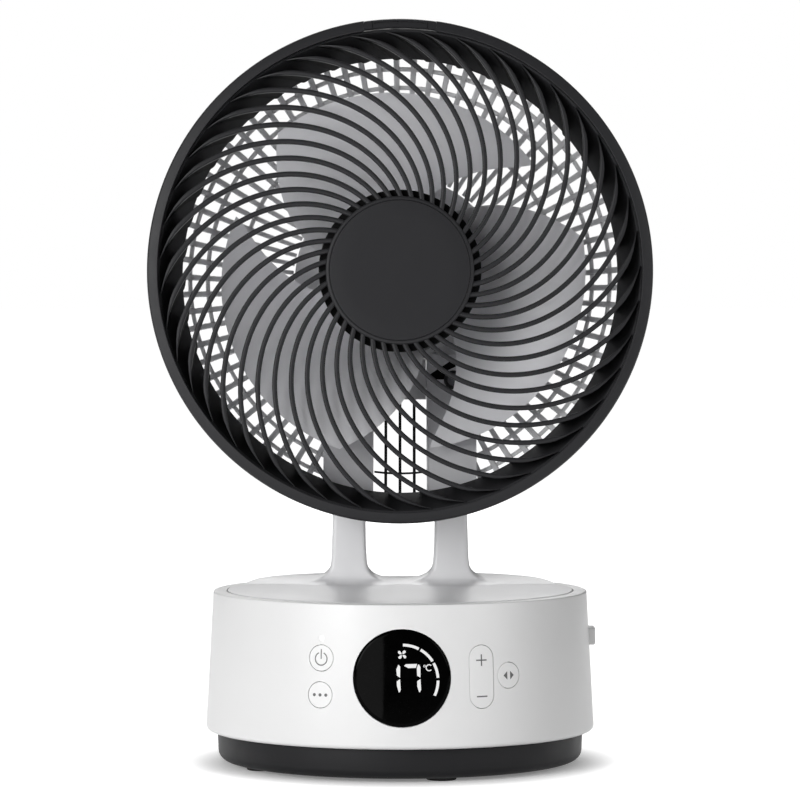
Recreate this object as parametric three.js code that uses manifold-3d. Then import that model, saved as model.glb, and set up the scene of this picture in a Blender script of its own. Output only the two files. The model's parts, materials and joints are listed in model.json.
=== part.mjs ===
// Table-top air circulator fan: a round base with a control panel, a turntable that swings
// from side to side, a two-legged arm, and a tilting head with a three-bladed impeller
// between a black spiral front grille and a white rear grille.
//
// Millimetres, +Z up. The origin is the centre of the base on the floor, and the front
// faces -Y, so +X is at the viewer's right.

import * as THREE from 'three';
import { mergeVertices } from 'three/addons/utils/BufferGeometryUtils.js';
import Module from 'manifold-3d';

const wasm = await Module();
wasm.setup();

const DEGREE = Math.PI / 180;
const GAP = 0.3;                    // room left between neighbouring pieces
const WELD = 1e-4;                  // corners closer than this are one corner

// ---- driving dimensions ----------------------------------------------------------------

const BASE = {
  foot_height: 1.9, floor_top: 4.5, pan_radius: 102.9, pan_top: 18.3, shell_bottom: 18.8,
  widest_radius: 108.9, widest_z: 22, top_radius: 104.9, shoulder_z: 94.6, top_z: 96.5,
  lip_radius: 97.4, deck_top: 88, deck_bottom: 85.6, deck_hole: 24, sides: 36,
};
const FEET = { azimuths: [15, 86, 157, -132, -62], circle: 86.5, radius: 8.8 };
const DISC = { radius: 97, top: 96.8, lid: 2.6, hub_radius: 22, hub_bore: 12, hub_bottom: 77.9 };
const ARM = {
  leg_inner: 20.6, leg_outer: 37.8, front: 42, back: 62, ear_radius: 11,
  chord: 43, foot_radius: 95.5, foot_front_z: 97.6, foot_back_z: 101.3, web_top: 98.2, web_back: 64,
};
const PIVOT = { y: 52, z: 213, pin: 5, bore: 5.15 };
const REST_TILT = 4;                // degrees that the head leans back at rest
const HEAD = { axis_above_pivot: 56.5, rim_before_pivot: 96 };
const RIM = { outer: 140, inner: 133.7, wall_depth: 44, throat_rear: 121.8, throat_depth: 42 };
const BADGE = { radius: 38.7, ring: 41, plate: 45 };
const RIBS = { count: 43, width: 2.7, depth: 5.5, front: 0.6, first_radius: 40, last_radius: 133 };
const FINS = { first_radius: 117, last_radius: 132.6, wall: 1.6 };
const BARS = { count: 77, outer_width: 3.6, inner_width: 2.3, first_angle: 2.1 };
const CHANNEL = { inner: 15.1, outer: 43.2, wall: 1.8, ceiling: 42.4 };
const BLADES = {
  count: 3, hub_radius: 38, tip_radius: 103.6, tip_fall: 5.5, front: 20, rear: 50, bow: 5,
  thickness: 2.2,
};
const MOTOR = { radius: 42, front: 66, rear: 95.2, shaft: 4 };
const GEARS = { module: 2, wheel_teeth: 34, pinion_teeth: 10, bottom: 71, top: 77.6 };
const PANEL = {
  display: { azimuth: 0.6, z: 57.2, radius: 26.1 },
  power: { azimuth: -23.5, z: 67.4, radius: 7.1 },
  mode: { azimuth: -23.6, z: 47.6, radius: 7.1 },
  swing: { azimuth: 33.3, z: 57.2, radius: 7.1 },
  speed: { azimuth: 24.3, z: 57.2, radius: 7.05, reach: 9.9 },
  led: { azimuth: -23.4, z: 78.4, radius: 1.5 },
};
const INLET = { z: 70.9, face: 109.5, width: 14, height: 9.9, bore: 3.4 };

// ---- materials -------------------------------------------------------------------------

const material = (color, roughness, metalness = 0) =>
  new THREE.MeshStandardMaterial({ color, roughness, metalness });
const WHITE = material(0xf2f2f2, 0.45);
const PALE_GREY = material(0xd2d2d4, 0.5);
const BLACK = material(0x2c2c2e, 0.5);
const PAN_BLACK = material(0x222224, 0.55);
const BLADE_GREY = material(0x9a9a9e, 0.35);
const GLOSS_BLACK = material(0x050506, 0.06);
const RUBBER = material(0x1a1a1a, 0.9);
const STEEL = material(0xb4b6b8, 0.3, 1);
const COPPER = material(0xb06a3a, 0.4, 1);
const BOARD = material(0x1d5b3a, 0.6);
const NYLON = material(0xe6e2d4, 0.55);
const LED_WHITE = material(0xffffff, 0.3);

// ---- solids ----------------------------------------------------------------------------

function volumeSign(positions, index) {
  const corner = (i) => new THREE.Vector3().fromBufferAttribute(positions, index[i]);
  let six = 0;
  for (let i = 0; i < index.length; i += 3) {
    six += corner(i).dot(corner(i + 1).cross(corner(i + 2)));
  }
  return Math.sign(six);
}

// A closed solid from any closed geometry, with its faces turned outward.
function solid(geometry) {
  const bare = new THREE.BufferGeometry();
  bare.setAttribute('position', geometry.getAttribute('position').clone());
  if (geometry.index) bare.setIndex(geometry.index.clone());
  const merged = mergeVertices(bare, WELD);
  const kept = [];
  const source = merged.index.array;
  for (let i = 0; i < source.length; i += 3) {
    const [a, b, c] = [source[i], source[i + 1], source[i + 2]];
    if (a !== b && b !== c && c !== a) kept.push(a, b, c);
  }
  const positions = merged.getAttribute('position');
  if (volumeSign(positions, kept) < 0) kept.reverse();
  return new wasm.Manifold(new wasm.Mesh({
    numProp: 3,
    vertProperties: new Float32Array(positions.array),
    triVerts: new Uint32Array(kept),
  }));
}

function geometryOf(manifold) {
  const mesh = manifold.getMesh();
  const geometry = new THREE.BufferGeometry();
  geometry.setAttribute('position', new THREE.BufferAttribute(mesh.vertProperties, 3));
  geometry.setIndex(new THREE.BufferAttribute(mesh.triVerts, 1));
  geometry.computeVertexNormals();
  return geometry;
}

const joined = (solids) => solids.reduce((sum, next) => sum.add(next));
const cutBy = (body, solids) => solids.reduce((rest, next) => rest.subtract(next), body);

// A solid of revolution about Z from a closed outline of [radius, z] points.
function turned(outline, sides = 24) {
  const points = outline.map(([radius, z]) => new THREE.Vector2(radius, z));
  points.push(points[0].clone());
  const geometry = new THREE.LatheGeometry(points, sides);
  geometry.rotateX(Math.PI / 2);
  return solid(geometry);
}

const tube = (inner, outer, low, high, sides = 20) =>
  turned([[inner, low], [outer, low], [outer, high], [inner, high]], sides);

function cylinder(radius, low, high, { x = 0, y = 0, sides = 20, top = radius } = {}) {
  const geometry = new THREE.CylinderGeometry(top, radius, high - low, sides);
  geometry.rotateX(Math.PI / 2);
  geometry.translate(x, y, (low + high) / 2);
  return solid(geometry);
}

function block([x0, x1], [y0, y1], [z0, z1]) {
  const geometry = new THREE.BoxGeometry(x1 - x0, y1 - y0, z1 - z0);
  geometry.translate((x0 + x1) / 2, (y0 + y1) / 2, (z0 + z1) / 2);
  return solid(geometry);
}

function extruded(outline, length, basis, shift) {
  const shape = new THREE.Shape(outline.map(([a, b]) => new THREE.Vector2(a, b)));
  const geometry = new THREE.ExtrudeGeometry(shape, { depth: length, bevelEnabled: false });
  geometry.applyMatrix4(new THREE.Matrix4().makeBasis(...basis));
  geometry.translate(...shift);
  return solid(geometry);
}

const X_AXIS = new THREE.Vector3(1, 0, 0);
const Y_AXIS = new THREE.Vector3(0, 1, 0);
const Z_AXIS = new THREE.Vector3(0, 0, 1);

// Outlines of [x, y] points along Z, of [y, z] points along X, and of [x, z] along Y.
const alongZ = (outline, z0, z1) =>
  extruded(outline, z1 - z0, [X_AXIS, Y_AXIS, Z_AXIS], [0, 0, z0]);
const alongX = (outline, x0, x1) =>
  extruded(outline, x1 - x0, [Y_AXIS, Z_AXIS, X_AXIS], [x0, 0, 0]);
const alongY = (outline, y0, y1) =>
  extruded(outline, y1 - y0, [X_AXIS, Z_AXIS, Y_AXIS.clone().negate()], [0, y1, 0]);

// Points on an arc from one angle to another, both ends included.
function arc(centre, radius, from, to, steps) {
  return Array.from({ length: steps + 1 }, (_, i) => {
    const angle = (from + ((to - from) * i) / steps) * DEGREE;
    return [centre[0] + radius * Math.cos(angle), centre[1] + radius * Math.sin(angle)];
  });
}

// A curved sheet with thickness, closed all round. corner(i, j, side) gives the point of
// row i and column j on side 0 or 1, filled(i, j) says which cells are solid, and wrap
// joins the last column to the first.
function sheetWork(rows, columns, corner, filled, wrap) {
  const points = [];
  const faces = [];
  const across = wrap ? columns : columns + 1;
  for (let i = 0; i <= rows; i += 1) {
    for (let j = 0; j < across; j += 1) {
      for (const side of [0, 1]) points.push(...corner(i, j, side));
    }
  }
  const at = (i, j, side) => 2 * (i * across + (wrap ? j % columns : j)) + side;
  const quad = (a, b, c, d) => faces.push(a, b, c, a, c, d);
  const isFilled = (i, j) => {
    if (i < 0 || i >= rows) return false;
    if (!wrap && (j < 0 || j >= columns)) return false;
    return filled(i, (j + columns) % columns);
  };
  for (let i = 0; i < rows; i += 1) {
    for (let j = 0; j < columns; j += 1) {
      if (!isFilled(i, j)) continue;
      quad(at(i, j, 1), at(i + 1, j, 1), at(i + 1, j + 1, 1), at(i, j + 1, 1));
      quad(at(i, j, 0), at(i, j + 1, 0), at(i + 1, j + 1, 0), at(i + 1, j, 0));
      if (!isFilled(i - 1, j)) quad(at(i, j, 0), at(i, j, 1), at(i, j + 1, 1), at(i, j + 1, 0));
      if (!isFilled(i + 1, j)) {
        quad(at(i + 1, j, 1), at(i + 1, j, 0), at(i + 1, j + 1, 0), at(i + 1, j + 1, 1));
      }
      if (!isFilled(i, j - 1)) quad(at(i, j, 1), at(i, j, 0), at(i + 1, j, 0), at(i + 1, j, 1));
      if (!isFilled(i, j + 1)) {
        quad(at(i, j + 1, 0), at(i, j + 1, 1), at(i + 1, j + 1, 1), at(i + 1, j + 1, 0));
      }
    }
  }
  const geometry = new THREE.BufferGeometry();
  geometry.setAttribute('position', new THREE.Float32BufferAttribute(points, 3));
  geometry.setIndex(faces);
  return solid(geometry);
}

// ---- assembly --------------------------------------------------------------------------

const fan = new THREE.Group();
fan.name = 'air_circulator_fan';

function place(group, name, body, finish) {
  const mesh = new THREE.Mesh(geometryOf(body), finish);
  mesh.name = name;
  group.add(mesh);
}

// ---- base ------------------------------------------------------------------------------

// A point on the base wall: azimuth is measured from the front towards +X.
const outward = (azimuth) => [Math.sin(azimuth * DEGREE), -Math.cos(azimuth * DEGREE)];

// A bar that runs straight out through the base wall, from its outline in the plane of
// the wall: [sideways, up] points around the middle of the feature.
function radialBar(outline, azimuth, z, from, to) {
  const [ox, oy] = outward(azimuth);
  const out = new THREE.Vector3(ox, oy, 0);
  const sideways = new THREE.Vector3(-oy, ox, 0);
  const shift = [ox * from, oy * from, z];
  return extruded(outline, to - from, [sideways, Z_AXIS, out], shift);
}

const circle = (radius, sides = 32) => arc([0, 0], radius, 0, 360 - 360 / sides, sides - 1);
const pill = (radius, reach) => [
  ...arc([0, reach], radius, 0, 180, 8), ...arc([0, -reach], radius, 180, 360, 8),
];

// The tapered wall of the base, thinned or grown by an offset, as a ring.
function wallRing(inner_offset, outer_offset, z0, z1) {
  const { widest_radius, widest_z, top_radius, shoulder_z } = BASE;
  const slope = (widest_radius - top_radius) / (shoulder_z - widest_z);
  const radius = (z) => widest_radius - (z - widest_z) * slope;
  return turned([
    [radius(z0) + inner_offset, z0], [radius(z0) + outer_offset, z0],
    [radius(z1) + outer_offset, z1], [radius(z1) + inner_offset, z1],
  ], 90);
}

const BOARD_BOTTOM = 12;
const BOARD_CORNERS = [[-40, -45], [40, -45], [-40, 15], [40, 15]];

// The floor of the base: its posts carry the shell's deck, and its standoffs the main board.
function basePan() {
  const { foot_height, floor_top, pan_radius, pan_top, deck_bottom } = BASE;
  const dish = turned([
    [0, foot_height], [96, foot_height], [99.7, 3.6], [101.7, 7.4], [pan_radius, pan_top],
    [102, pan_top], [102, 29], [99.6, 29], [98.6, 8.4], [95, floor_top], [0, floor_top],
  ], BASE.sides);
  const post = (radius, top, [x, y], sides) =>
    cylinder(radius, floor_top - 0.5, top - GAP, { x, y, sides });
  const posts = [[0, -62], [-60, 55], [60, 55]].map((at) => post(5, deck_bottom, at, 10));
  const standoffs = BOARD_CORNERS.map((at) => post(3, BOARD_BOTTOM, at, 8));
  return joined([dish, ...posts, ...standoffs]);
}

// Two boards behind the keys. A switch stands out to top at each place under a key, which
// is its distance sideways along the board and its height.
const KEY_BOARD_FACE = 98;
const KEY_BOARDS = [
  { name: 'key_board_left', azimuth: -23.5, half_width: 11, low: 37.5, high: 83,
    switches: [{ sideways: 0, z: 67.4, top: 99.6 }, { sideways: 0, z: 47.6, top: 100.7 }] },
  { name: 'key_board_right', azimuth: 28.8, half_width: 17, low: 37.5, high: 77.5,
    switches: [
      { sideways: -8.2, z: 67.1, top: 100.2 }, { sideways: -8.2, z: 47.3, top: 100.2 },
      { sideways: 8.2, z: 57.2, top: 100.1 },
    ] },
];

const rectangle = (middle, half_width, half_height) => [
  [middle - half_width, -half_height], [middle + half_width, -half_height],
  [middle + half_width, half_height], [middle - half_width, half_height],
];

function keyBoard({ azimuth, half_width, low, high, switches }) {
  const plate = radialBar(rectangle(0, half_width, (high - low) / 2), azimuth, (low + high) / 2,
    KEY_BOARD_FACE - 1.6, KEY_BOARD_FACE);
  const buttons = switches.map(({ sideways, z, top }) =>
    radialBar(rectangle(sideways, 3, 3), azimuth, z, KEY_BOARD_FACE - 1, top));
  return joined([plate, ...buttons]);
}

// The display's board, with the lit module that stands up to the back of the lens.
function displayBoard() {
  const plate = block([-22, 22], [-98.2, -96.6], [34, 80]);
  return plate.add(block([-14, 14], [-101.9, -98], [46, 68]));
}

const MOTOR_EAR_TOP = 66.2;
const PINION_X = -(GEARS.module * (GEARS.wheel_teeth + GEARS.pinion_teeth)) / 2;

// The outer shell with its deck: pillars carry the swing motor, and pegs the display board.
function baseShell() {
  const shell = turned([
    [105.4, BASE.shell_bottom], [107.4, BASE.shell_bottom], [108.6, BASE.shell_bottom + 1],
    [BASE.widest_radius, BASE.widest_z], [BASE.top_radius, BASE.shoulder_z], [104.2, 95.9],
    [103.1, BASE.top_z], [BASE.lip_radius, BASE.top_z], [BASE.lip_radius, BASE.deck_top],
    [BASE.deck_hole, BASE.deck_top], [BASE.deck_hole, BASE.deck_bottom],
    [102.2, BASE.deck_bottom],
  ], BASE.sides);
  const { display, power, mode, swing, speed, led } = PANEL;
  const pillars = [-27.5, 27.5].map((y) =>
    cylinder(3.5, MOTOR_EAR_TOP + GAP, BASE.deck_bottom + 1, { x: PINION_X, y, sides: 10 }));
  const boardPegs = [-1, 1].flatMap((side) => [34.5, 76.9].map((z) =>
    block(side > 0 ? [19.2, 21.8] : [-21.8, -19.2], [-104.5, -98.2 - GAP], [z, z + 2.6])));
  const keyPegs = KEY_BOARDS.flatMap(({ azimuth, half_width, low, high }) =>
    [-1, 1].flatMap((side) => [low + 2, high - 2].map((z) =>
      radialBar(rectangle(side * (half_width - 1.6), 1.3, 1.3), azimuth, z,
        KEY_BOARD_FACE + GAP, 105))));
  const inletOpening = [
    [-INLET.width / 2 - GAP, INLET.width / 2 + GAP],
    [INLET.z - INLET.height / 2 - GAP, INLET.z + INLET.height / 2 + GAP],
  ];
  const round = ({ azimuth, z, radius }, sides) =>
    radialBar(circle(radius + GAP, sides), azimuth, z, 90, 115);
  return cutBy(joined([shell, ...pillars, ...boardPegs, ...keyPegs]), [
    round(display, 28), round(power, 16), round(mode, 16), round(swing, 16), round(led, 8),
    radialBar(pill(speed.radius + GAP, speed.reach), speed.azimuth, speed.z, 90, 115),
    block([95, 115], ...inletOpening),
  ]);
}

function key({ azimuth, z, radius }) {
  return wallRing(-5, 0, z - 12, z + 12)
    .intersect(radialBar(circle(radius, 16), azimuth, z, 90, 115));
}

function speedKey({ azimuth, z, radius, reach }) {
  return wallRing(-4.4, 0, z - 22, z + 22)
    .intersect(radialBar(pill(radius, reach), azimuth, z, 90, 115));
}

function displayLens({ azimuth, z, radius }) {
  return wallRing(-3.2, 0.5, z - 30, z + 30)
    .intersect(radialBar(circle(radius, 28), azimuth, z, 90, 115));
}

// A barrel socket: its boss stands out of the wall at the right, with the pin deep inside.
function inletBody() {
  const { z, face, width, height, bore } = INLET;
  const body = block([96, face], [-width / 2, width / 2], [z - height / 2, z + height / 2]);
  const socket = alongX(circle(bore, 20).map(([a, b]) => [a, b + z]), 98, face + 1);
  return body.subtract(socket);
}

function addBase() {
  place(fan, 'base_pan', basePan(), PAN_BLACK);
  place(fan, 'base_shell', baseShell(), WHITE);
  FEET.azimuths.forEach((azimuth, i) => {
    const [x, y] = outward(azimuth).map((v) => v * FEET.circle);
    const foot = cylinder(FEET.radius - 0.8, 0, BASE.foot_height,
      { x, y, sides: 14, top: FEET.radius });
    place(fan, `foot_${i + 1}`, foot, RUBBER);
  });
  const { display, power, mode, swing, speed, led } = PANEL;
  place(fan, 'display_lens', displayLens(display), GLOSS_BLACK);
  place(fan, 'display_board', displayBoard(), BOARD);
  for (const board of KEY_BOARDS) place(fan, board.name, keyBoard(board), BOARD);
  place(fan, 'key_power', key(power), WHITE);
  place(fan, 'key_mode', key(mode), WHITE);
  place(fan, 'key_swing', key(swing), WHITE);
  place(fan, 'key_speed', speedKey(speed), WHITE);
  place(fan, 'status_led', wallRing(-4, 0.1, led.z - 4, led.z + 4)
    .intersect(radialBar(circle(led.radius, 8), led.azimuth, led.z, 90, 115)), LED_WHITE);
  place(fan, 'main_board', block([-45, 45], [-50, 20], [BOARD_BOTTOM, BOARD_BOTTOM + 1.6]), BOARD);
  place(fan, 'power_inlet', inletBody(), PALE_GREY);
  const pin = alongX(circle(0.9, 8).map(([a, b]) => [a, b + INLET.z]), 98, 103.5);
  place(fan, 'inlet_pin', pin, STEEL);
}

// ---- turntable and its drive -----------------------------------------------------------

// A spur gear outline with straight-sided teeth; the first tooth points along phase.
function gearOutline(teeth, phase, centre) {
  const pitch = (GEARS.module * teeth) / 2;
  const root = pitch - 1.15 * GEARS.module;
  const tip = pitch + 0.8 * GEARS.module;
  const step = 360 / teeth;
  const points = [];
  for (let i = 0; i < teeth; i += 1) {
    for (const [radius, share] of [[root, -0.27], [tip, -0.11], [tip, 0.11], [root, 0.27]]) {
      const angle = (phase + step * (i + share)) * DEGREE;
      points.push([centre[0] + radius * Math.cos(angle), centre[1] + radius * Math.sin(angle)]);
    }
  }
  return points;
}

function turntableGear() {
  const wheel = alongZ(gearOutline(GEARS.wheel_teeth, 180, [0, 0]), GEARS.bottom, GEARS.top);
  const boss = cylinder(14, GEARS.bottom - 4, GEARS.bottom + 1);
  return wheel.add(boss).subtract(cylinder(6, 60, 80, { sides: 20 }));
}

function swingPinion() {
  const outline = gearOutline(GEARS.pinion_teeth, 180 / GEARS.pinion_teeth, [PINION_X, 0]);
  const teeth = alongZ(outline, GEARS.bottom, GEARS.top);
  return teeth.add(cylinder(3, 66.5, GEARS.bottom + 1, { x: PINION_X, sides: 12 }));
}

function swingMotor() {
  const can = cylinder(24, 48, MOTOR_EAR_TOP, { x: PINION_X });
  const ears = block([PINION_X - 5, PINION_X + 5], [-31.5, 31.5], [64, MOTOR_EAR_TOP]);
  return joined([can, ears]).subtract(cylinder(3.4, 60, 70, { x: PINION_X, sides: 12 }));
}

function turntableDisc() {
  const { radius, top, lid, hub_radius, hub_bore, hub_bottom } = DISC;
  const under = top - lid;
  return turned([
    [0, top], [radius - 0.7, top], [radius, top - 0.7], [radius, 91], [94.6, 91],
    [94.6, under], [hub_radius, under], [hub_radius, hub_bottom], [hub_bore, hub_bottom],
    [hub_bore, under], [0, under],
  ], BASE.sides);
}

// The arm's foot is the part of a disc behind a chord, and it ramps up towards the back.
// Between the legs only a low web is left of it, close to its front.
function armFoot() {
  const bottom = DISC.top;
  const {
    chord, foot_radius, foot_front_z, foot_back_z, web_top, web_back, leg_inner,
  } = ARM;
  const ramp = alongX([
    [chord, bottom], [foot_radius, bottom], [foot_radius, foot_back_z], [chord, foot_front_z],
  ], -foot_radius, foot_radius);
  const round = cylinder(foot_radius, bottom - 1, foot_back_z + 1, { sides: BASE.sides });
  const between = [-leg_inner, leg_inner];
  const aboveWeb = block(between, [chord - 1, web_back + 1], [web_top, 110]);
  const behindWeb = block(between, [web_back, 110], [bottom - 1, 110]);
  return cutBy(ramp.intersect(round), [aboveWeb, behindWeb]);
}

// One leg seen from the front, with a small inner fillet and a broad outer one.
function legOutline(side) {
  const { leg_inner, leg_outer } = ARM;
  const outline = [
    [leg_inner, 226], [leg_inner, 140], [19.7, 118], ...arc([12.2, 106.4], 6.9, 0, -90, 4),
    [12.2, 97.5], [58, 97.5], ...arc([52, 110.6], 10.4, 270, 200, 4), [39.3, 118],
    [leg_outer, 140], [leg_outer, 226],
  ];
  return outline.map(([x, z]) => [x * side, z]);
}

// Both legs seen from the side: a flared foot and a round ear at the tilt pivot.
function legSideOutline() {
  const { front, back, ear_radius } = ARM;
  return [
    [front - 3, 97.5], ...arc([front - 6, 103.6], 6, -60, 0, 3), [front, 150], [front, PIVOT.z],
    ...arc([PIVOT.y, PIVOT.z], ear_radius, 170, 10, 8),
    [back, PIVOT.z], [back, 110], [back + 6, 97.5],
  ];
}

function arm() {
  const legs = [-1, 1].map((side) => alongY(legOutline(side), 30, 80));
  const shaped = joined(legs).intersect(alongX(legSideOutline(), -60, 60));
  const bore = alongX(arc([PIVOT.y, PIVOT.z], PIVOT.bore, 0, 345, 23), -50, 50);
  return joined([armFoot(), shaped]).subtract(bore);
}

function addTurntable() {
  place(fan, 'turntable_disc', turntableDisc(), PALE_GREY);
  place(fan, 'thrust_ring', tube(62, 72, BASE.deck_top, DISC.top - DISC.lid), NYLON);
  place(fan, 'turntable_gear', turntableGear(), NYLON);
  place(fan, 'swing_pinion', swingPinion(), NYLON);
  place(fan, 'swing_motor', swingMotor(), STEEL);
  place(fan, 'arm', arm(), PALE_GREY);
}

// ---- head ------------------------------------------------------------------------------
// The head group turns about the tilt pivot. Inside it, pieces are drawn in the frame of
// the impeller's axis: x to the viewer's right, y down, z back from the rim's front face.

const head = new THREE.Group();
head.position.set(0, PIVOT.y, PIVOT.z);
head.rotation.x = -REST_TILT * DEGREE;
fan.add(head);

const axis = new THREE.Group();
axis.position.set(0, -HEAD.rim_before_pivot, HEAD.axis_above_pivot);
axis.rotation.x = -Math.PI / 2;
head.add(axis);

const PIVOT_DOWN = HEAD.axis_above_pivot;
const PIVOT_BACK = HEAD.rim_before_pivot;

// The spiral that the ribs follow: the angle, anticlockwise from the viewer's right.
function ribAngle(radius) {
  const run = radius - 46.3;
  const hook = Math.max(0, radius - 124);
  return (0.49 + 0.575 * run + 0.000991 * run * run + 0.0329 * hook * hook) * DEGREE;
}

function spiralPoint(radius, turn, offset) {
  const angle = ribAngle(radius) + turn;
  const ahead = ribAngle(radius + 0.5) + turn;
  const at = [radius * Math.cos(angle), -radius * Math.sin(angle)];
  const next = [(radius + 0.5) * Math.cos(ahead), -(radius + 0.5) * Math.sin(ahead)];
  const run = Math.hypot(next[0] - at[0], next[1] - at[1]);
  const normal = [-(next[1] - at[1]) / run, (next[0] - at[0]) / run];
  return [at[0] + normal[0] * offset, at[1] + normal[1] * offset];
}

// A strip as wide as a rib, along the spiral from one radius to another.
function spiralStrip(first_radius, last_radius, steps, turn) {
  const radii = Array.from({ length: steps + 1 },
    (_, i) => first_radius + ((last_radius - first_radius) * i) / steps);
  const edge = (offset) => radii.map((radius) => spiralPoint(radius, turn, offset));
  return [...edge(-RIBS.width / 2), ...edge(RIBS.width / 2).reverse()];
}

const atEachRib = (make) =>
  Array.from({ length: RIBS.count }, (_, i) => make((i * 2 * Math.PI) / RIBS.count));

function spiralRibs() {
  const { first_radius, last_radius, front, depth } = RIBS;
  return atEachRib((turn) =>
    alongZ(spiralStrip(first_radius, last_radius, 6, turn), front, front + depth));
}

// On the throat's wall each rib goes on as a fin as deep as the throat.
function throatFins() {
  const { throat_rear, throat_depth } = RIM;
  const { first_radius, last_radius, wall } = FINS;
  const inside = turned([
    [first_radius + 0.6, 3], [throat_rear + wall, throat_depth - 0.6],
    [last_radius + 2, 4.5], [last_radius - 2, 3],
  ], 50);
  const strips = atEachRib((turn) =>
    alongZ(spiralStrip(first_radius, last_radius, 3, turn), 2, throat_depth));
  return joined(strips).intersect(inside);
}

const CLIP = { angle: 8.3, inner: 135.6, back: 13 };

// A piece of the rim's edge at the top, between two radii and two depths.
function rimSegment(angle, inner, outer, z0, z1) {
  const sector = [
    ...arc([0, 0], outer, -90 - angle, -90 + angle, 6),
    ...arc([0, 0], inner, -90 + angle, -90 - angle, 6),
  ];
  return alongZ(sector, z0, z1);
}

function frontGrille() {
  const { outer, inner, wall_depth, throat_rear, throat_depth } = RIM;
  const rim = turned([
    [inner, 0], [138.4, 0], [139.6, 0.6], [outer, 1.8], [138.6, wall_depth],
    [136.2, wall_depth], [137.6, 3], [135.2, 3], [throat_rear + 2.4, throat_depth],
    [throat_rear, throat_depth],
  ], 50);
  const hub = turned([
    [0, 3], [BADGE.radius + 0.4, 3], [BADGE.radius + 0.4, -0.2], [BADGE.ring, -0.2],
    [BADGE.ring, 2.4], [BADGE.plate, 3.2], [BADGE.plate, 6.6], [0, 6.6],
  ], 32);
  const notch = rimSegment(CLIP.angle + 0.15, CLIP.inner - 2.2, 145, -1, CLIP.back + GAP);
  return joined([rim, hub, ...spiralRibs(), throatFins()]).subtract(notch);
}

function badge() {
  return turned([
    [0, -0.9], [BADGE.radius - 1, -0.7], [BADGE.radius, 0], [BADGE.radius, 2.7], [0, 2.7],
  ], 32);
}

// The release latch in the rim: it is pressed towards the axis, into the notch below it.
function grilleClip() {
  const bar = rimSegment(CLIP.angle - 0.1, CLIP.inner, 139.3, 0.3, CLIP.back);
  const groove = rimSegment(CLIP.angle - 1.6, 138.1, 138.7, -1, 1.1);
  return bar.subtract(groove);
}

// ---- rear grille -----------------------------------------------------------------------

// Across the bowl from the rim to the hub: [radius, depth] on the outside, the way in
// from there to the inside, and whether the next stretch is a ring or only bars.
const BOWL = [
  { outside: [138.4, 44.4], inward: [-2.3, 0], ring: true },
  { outside: [137.2, 50], inward: [-2.2, -0.9], ring: false },
  { outside: [112.8, 73], inward: [-1.6, -1.8], ring: true },
  { outside: [109, 76.2], inward: [-1.6, -1.8], ring: false },
  { outside: [92, 89.5], inward: [-1.1, -2.2], ring: false },
  { outside: [60, 98], inward: [-0.2, -2.4], ring: true },
  { outside: [44.6, 98], inward: [0, -2.4], ring: true },
];

function bowlNet() {
  const { count, outer_width, inner_width, first_angle } = BARS;
  const corner = (i, j, side) => {
    const { outside, inward } = BOWL[i];
    const radius = outside[0] + (side === 0 ? inward[0] : 0);
    const depth = outside[1] + (side === 0 ? inward[1] : 0);
    const share = (outside[0] - 44.6) / (138.4 - 44.6);
    const width = inner_width + (outer_width - inner_width) * share;
    const half = width / (2 * outside[0]);
    const middle = first_angle * DEGREE + (Math.floor(j / 2) * 2 * Math.PI) / count;
    const angle = middle + (j % 2 === 0 ? -half : half);
    return [radius * Math.cos(angle), -radius * Math.sin(angle), depth];
  };
  const filled = (i, j) => BOWL[i].ring || j % 2 === 0;
  return sheetWork(BOWL.length - 1, 2 * count, corner, filled, true);
}

// Everything inside the bowl's outer surface.
function bowlBody() {
  const outside = BOWL.map(({ outside: point }) => point);
  return turned([[0, 30], [138.4, 30], ...outside, [0, 98]], 77);
}

// The two channels let the arm's legs into the bowl when the head tips forward.
// Their front walls lean forward from the hub down to the rim.
const PANEL_TOP = [CHANNEL.ceiling, 79.4];
const PANEL_FOOT = [123, 47.6];

function channelWalls(side) {
  const { inner, outer, wall } = CHANNEL;
  const span = (from, to) => (side > 0 ? [from, to] : [-to, -from]);
  const behind = [PANEL_TOP, PANEL_FOOT, [136, 49], [136, 98], [CHANNEL.ceiling, 98]];
  const front = [
    PANEL_TOP, PANEL_FOOT, [PANEL_FOOT[0] + 8, PANEL_FOOT[1] + 0.4],
    [PANEL_FOOT[0] + 8, PANEL_FOOT[1] + 2.4], [PANEL_FOOT[0], PANEL_FOOT[1] + 2.1],
    [PANEL_TOP[0], PANEL_TOP[1] + 2.1],
  ];
  const ceiling = [
    PANEL_TOP, [CHANNEL.ceiling + wall, PANEL_TOP[1]], [CHANNEL.ceiling + wall, 98],
    [CHANNEL.ceiling, 98],
  ];
  return joined([
    alongX(behind, ...span(inner, inner + wall)),
    alongX(behind, ...span(outer - wall, outer)),
    alongX(front, ...span(inner, outer)),
    alongX(ceiling, ...span(inner, outer)),
  ]);
}

function rearGrille() {
  const { inner, outer, ceiling } = CHANNEL;
  const behindPanel = [
    PANEL_TOP, PANEL_FOOT, [134.4, 48], [134.4, 110], [ceiling, 110],
  ];
  const slots = [-1, 1].map((side) =>
    alongX(behindPanel, side > 0 ? inner : -outer, side > 0 ? outer : -inner));
  const middle = block([-inner, inner], [ceiling + 2.3, 134.4], [40, 110]);
  const walls = joined([-1, 1].map(channelWalls)).intersect(bowlBody());
  const pinHole = alongX(circle(PIVOT.pin + 0.5, 20)
    .map(([a, b]) => [a + PIVOT_DOWN, b + PIVOT_BACK]), -20, 20);
  const bosses = [-1, 1].map((side) =>
    cylinder(5.2, 70, 78, { x: side * 30.4, y: 57.5, sides: 20 }));
  return cutBy(bowlNet(), [...slots, middle]).add(walls).add(joined(bosses)).subtract(pinHole);
}

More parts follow.
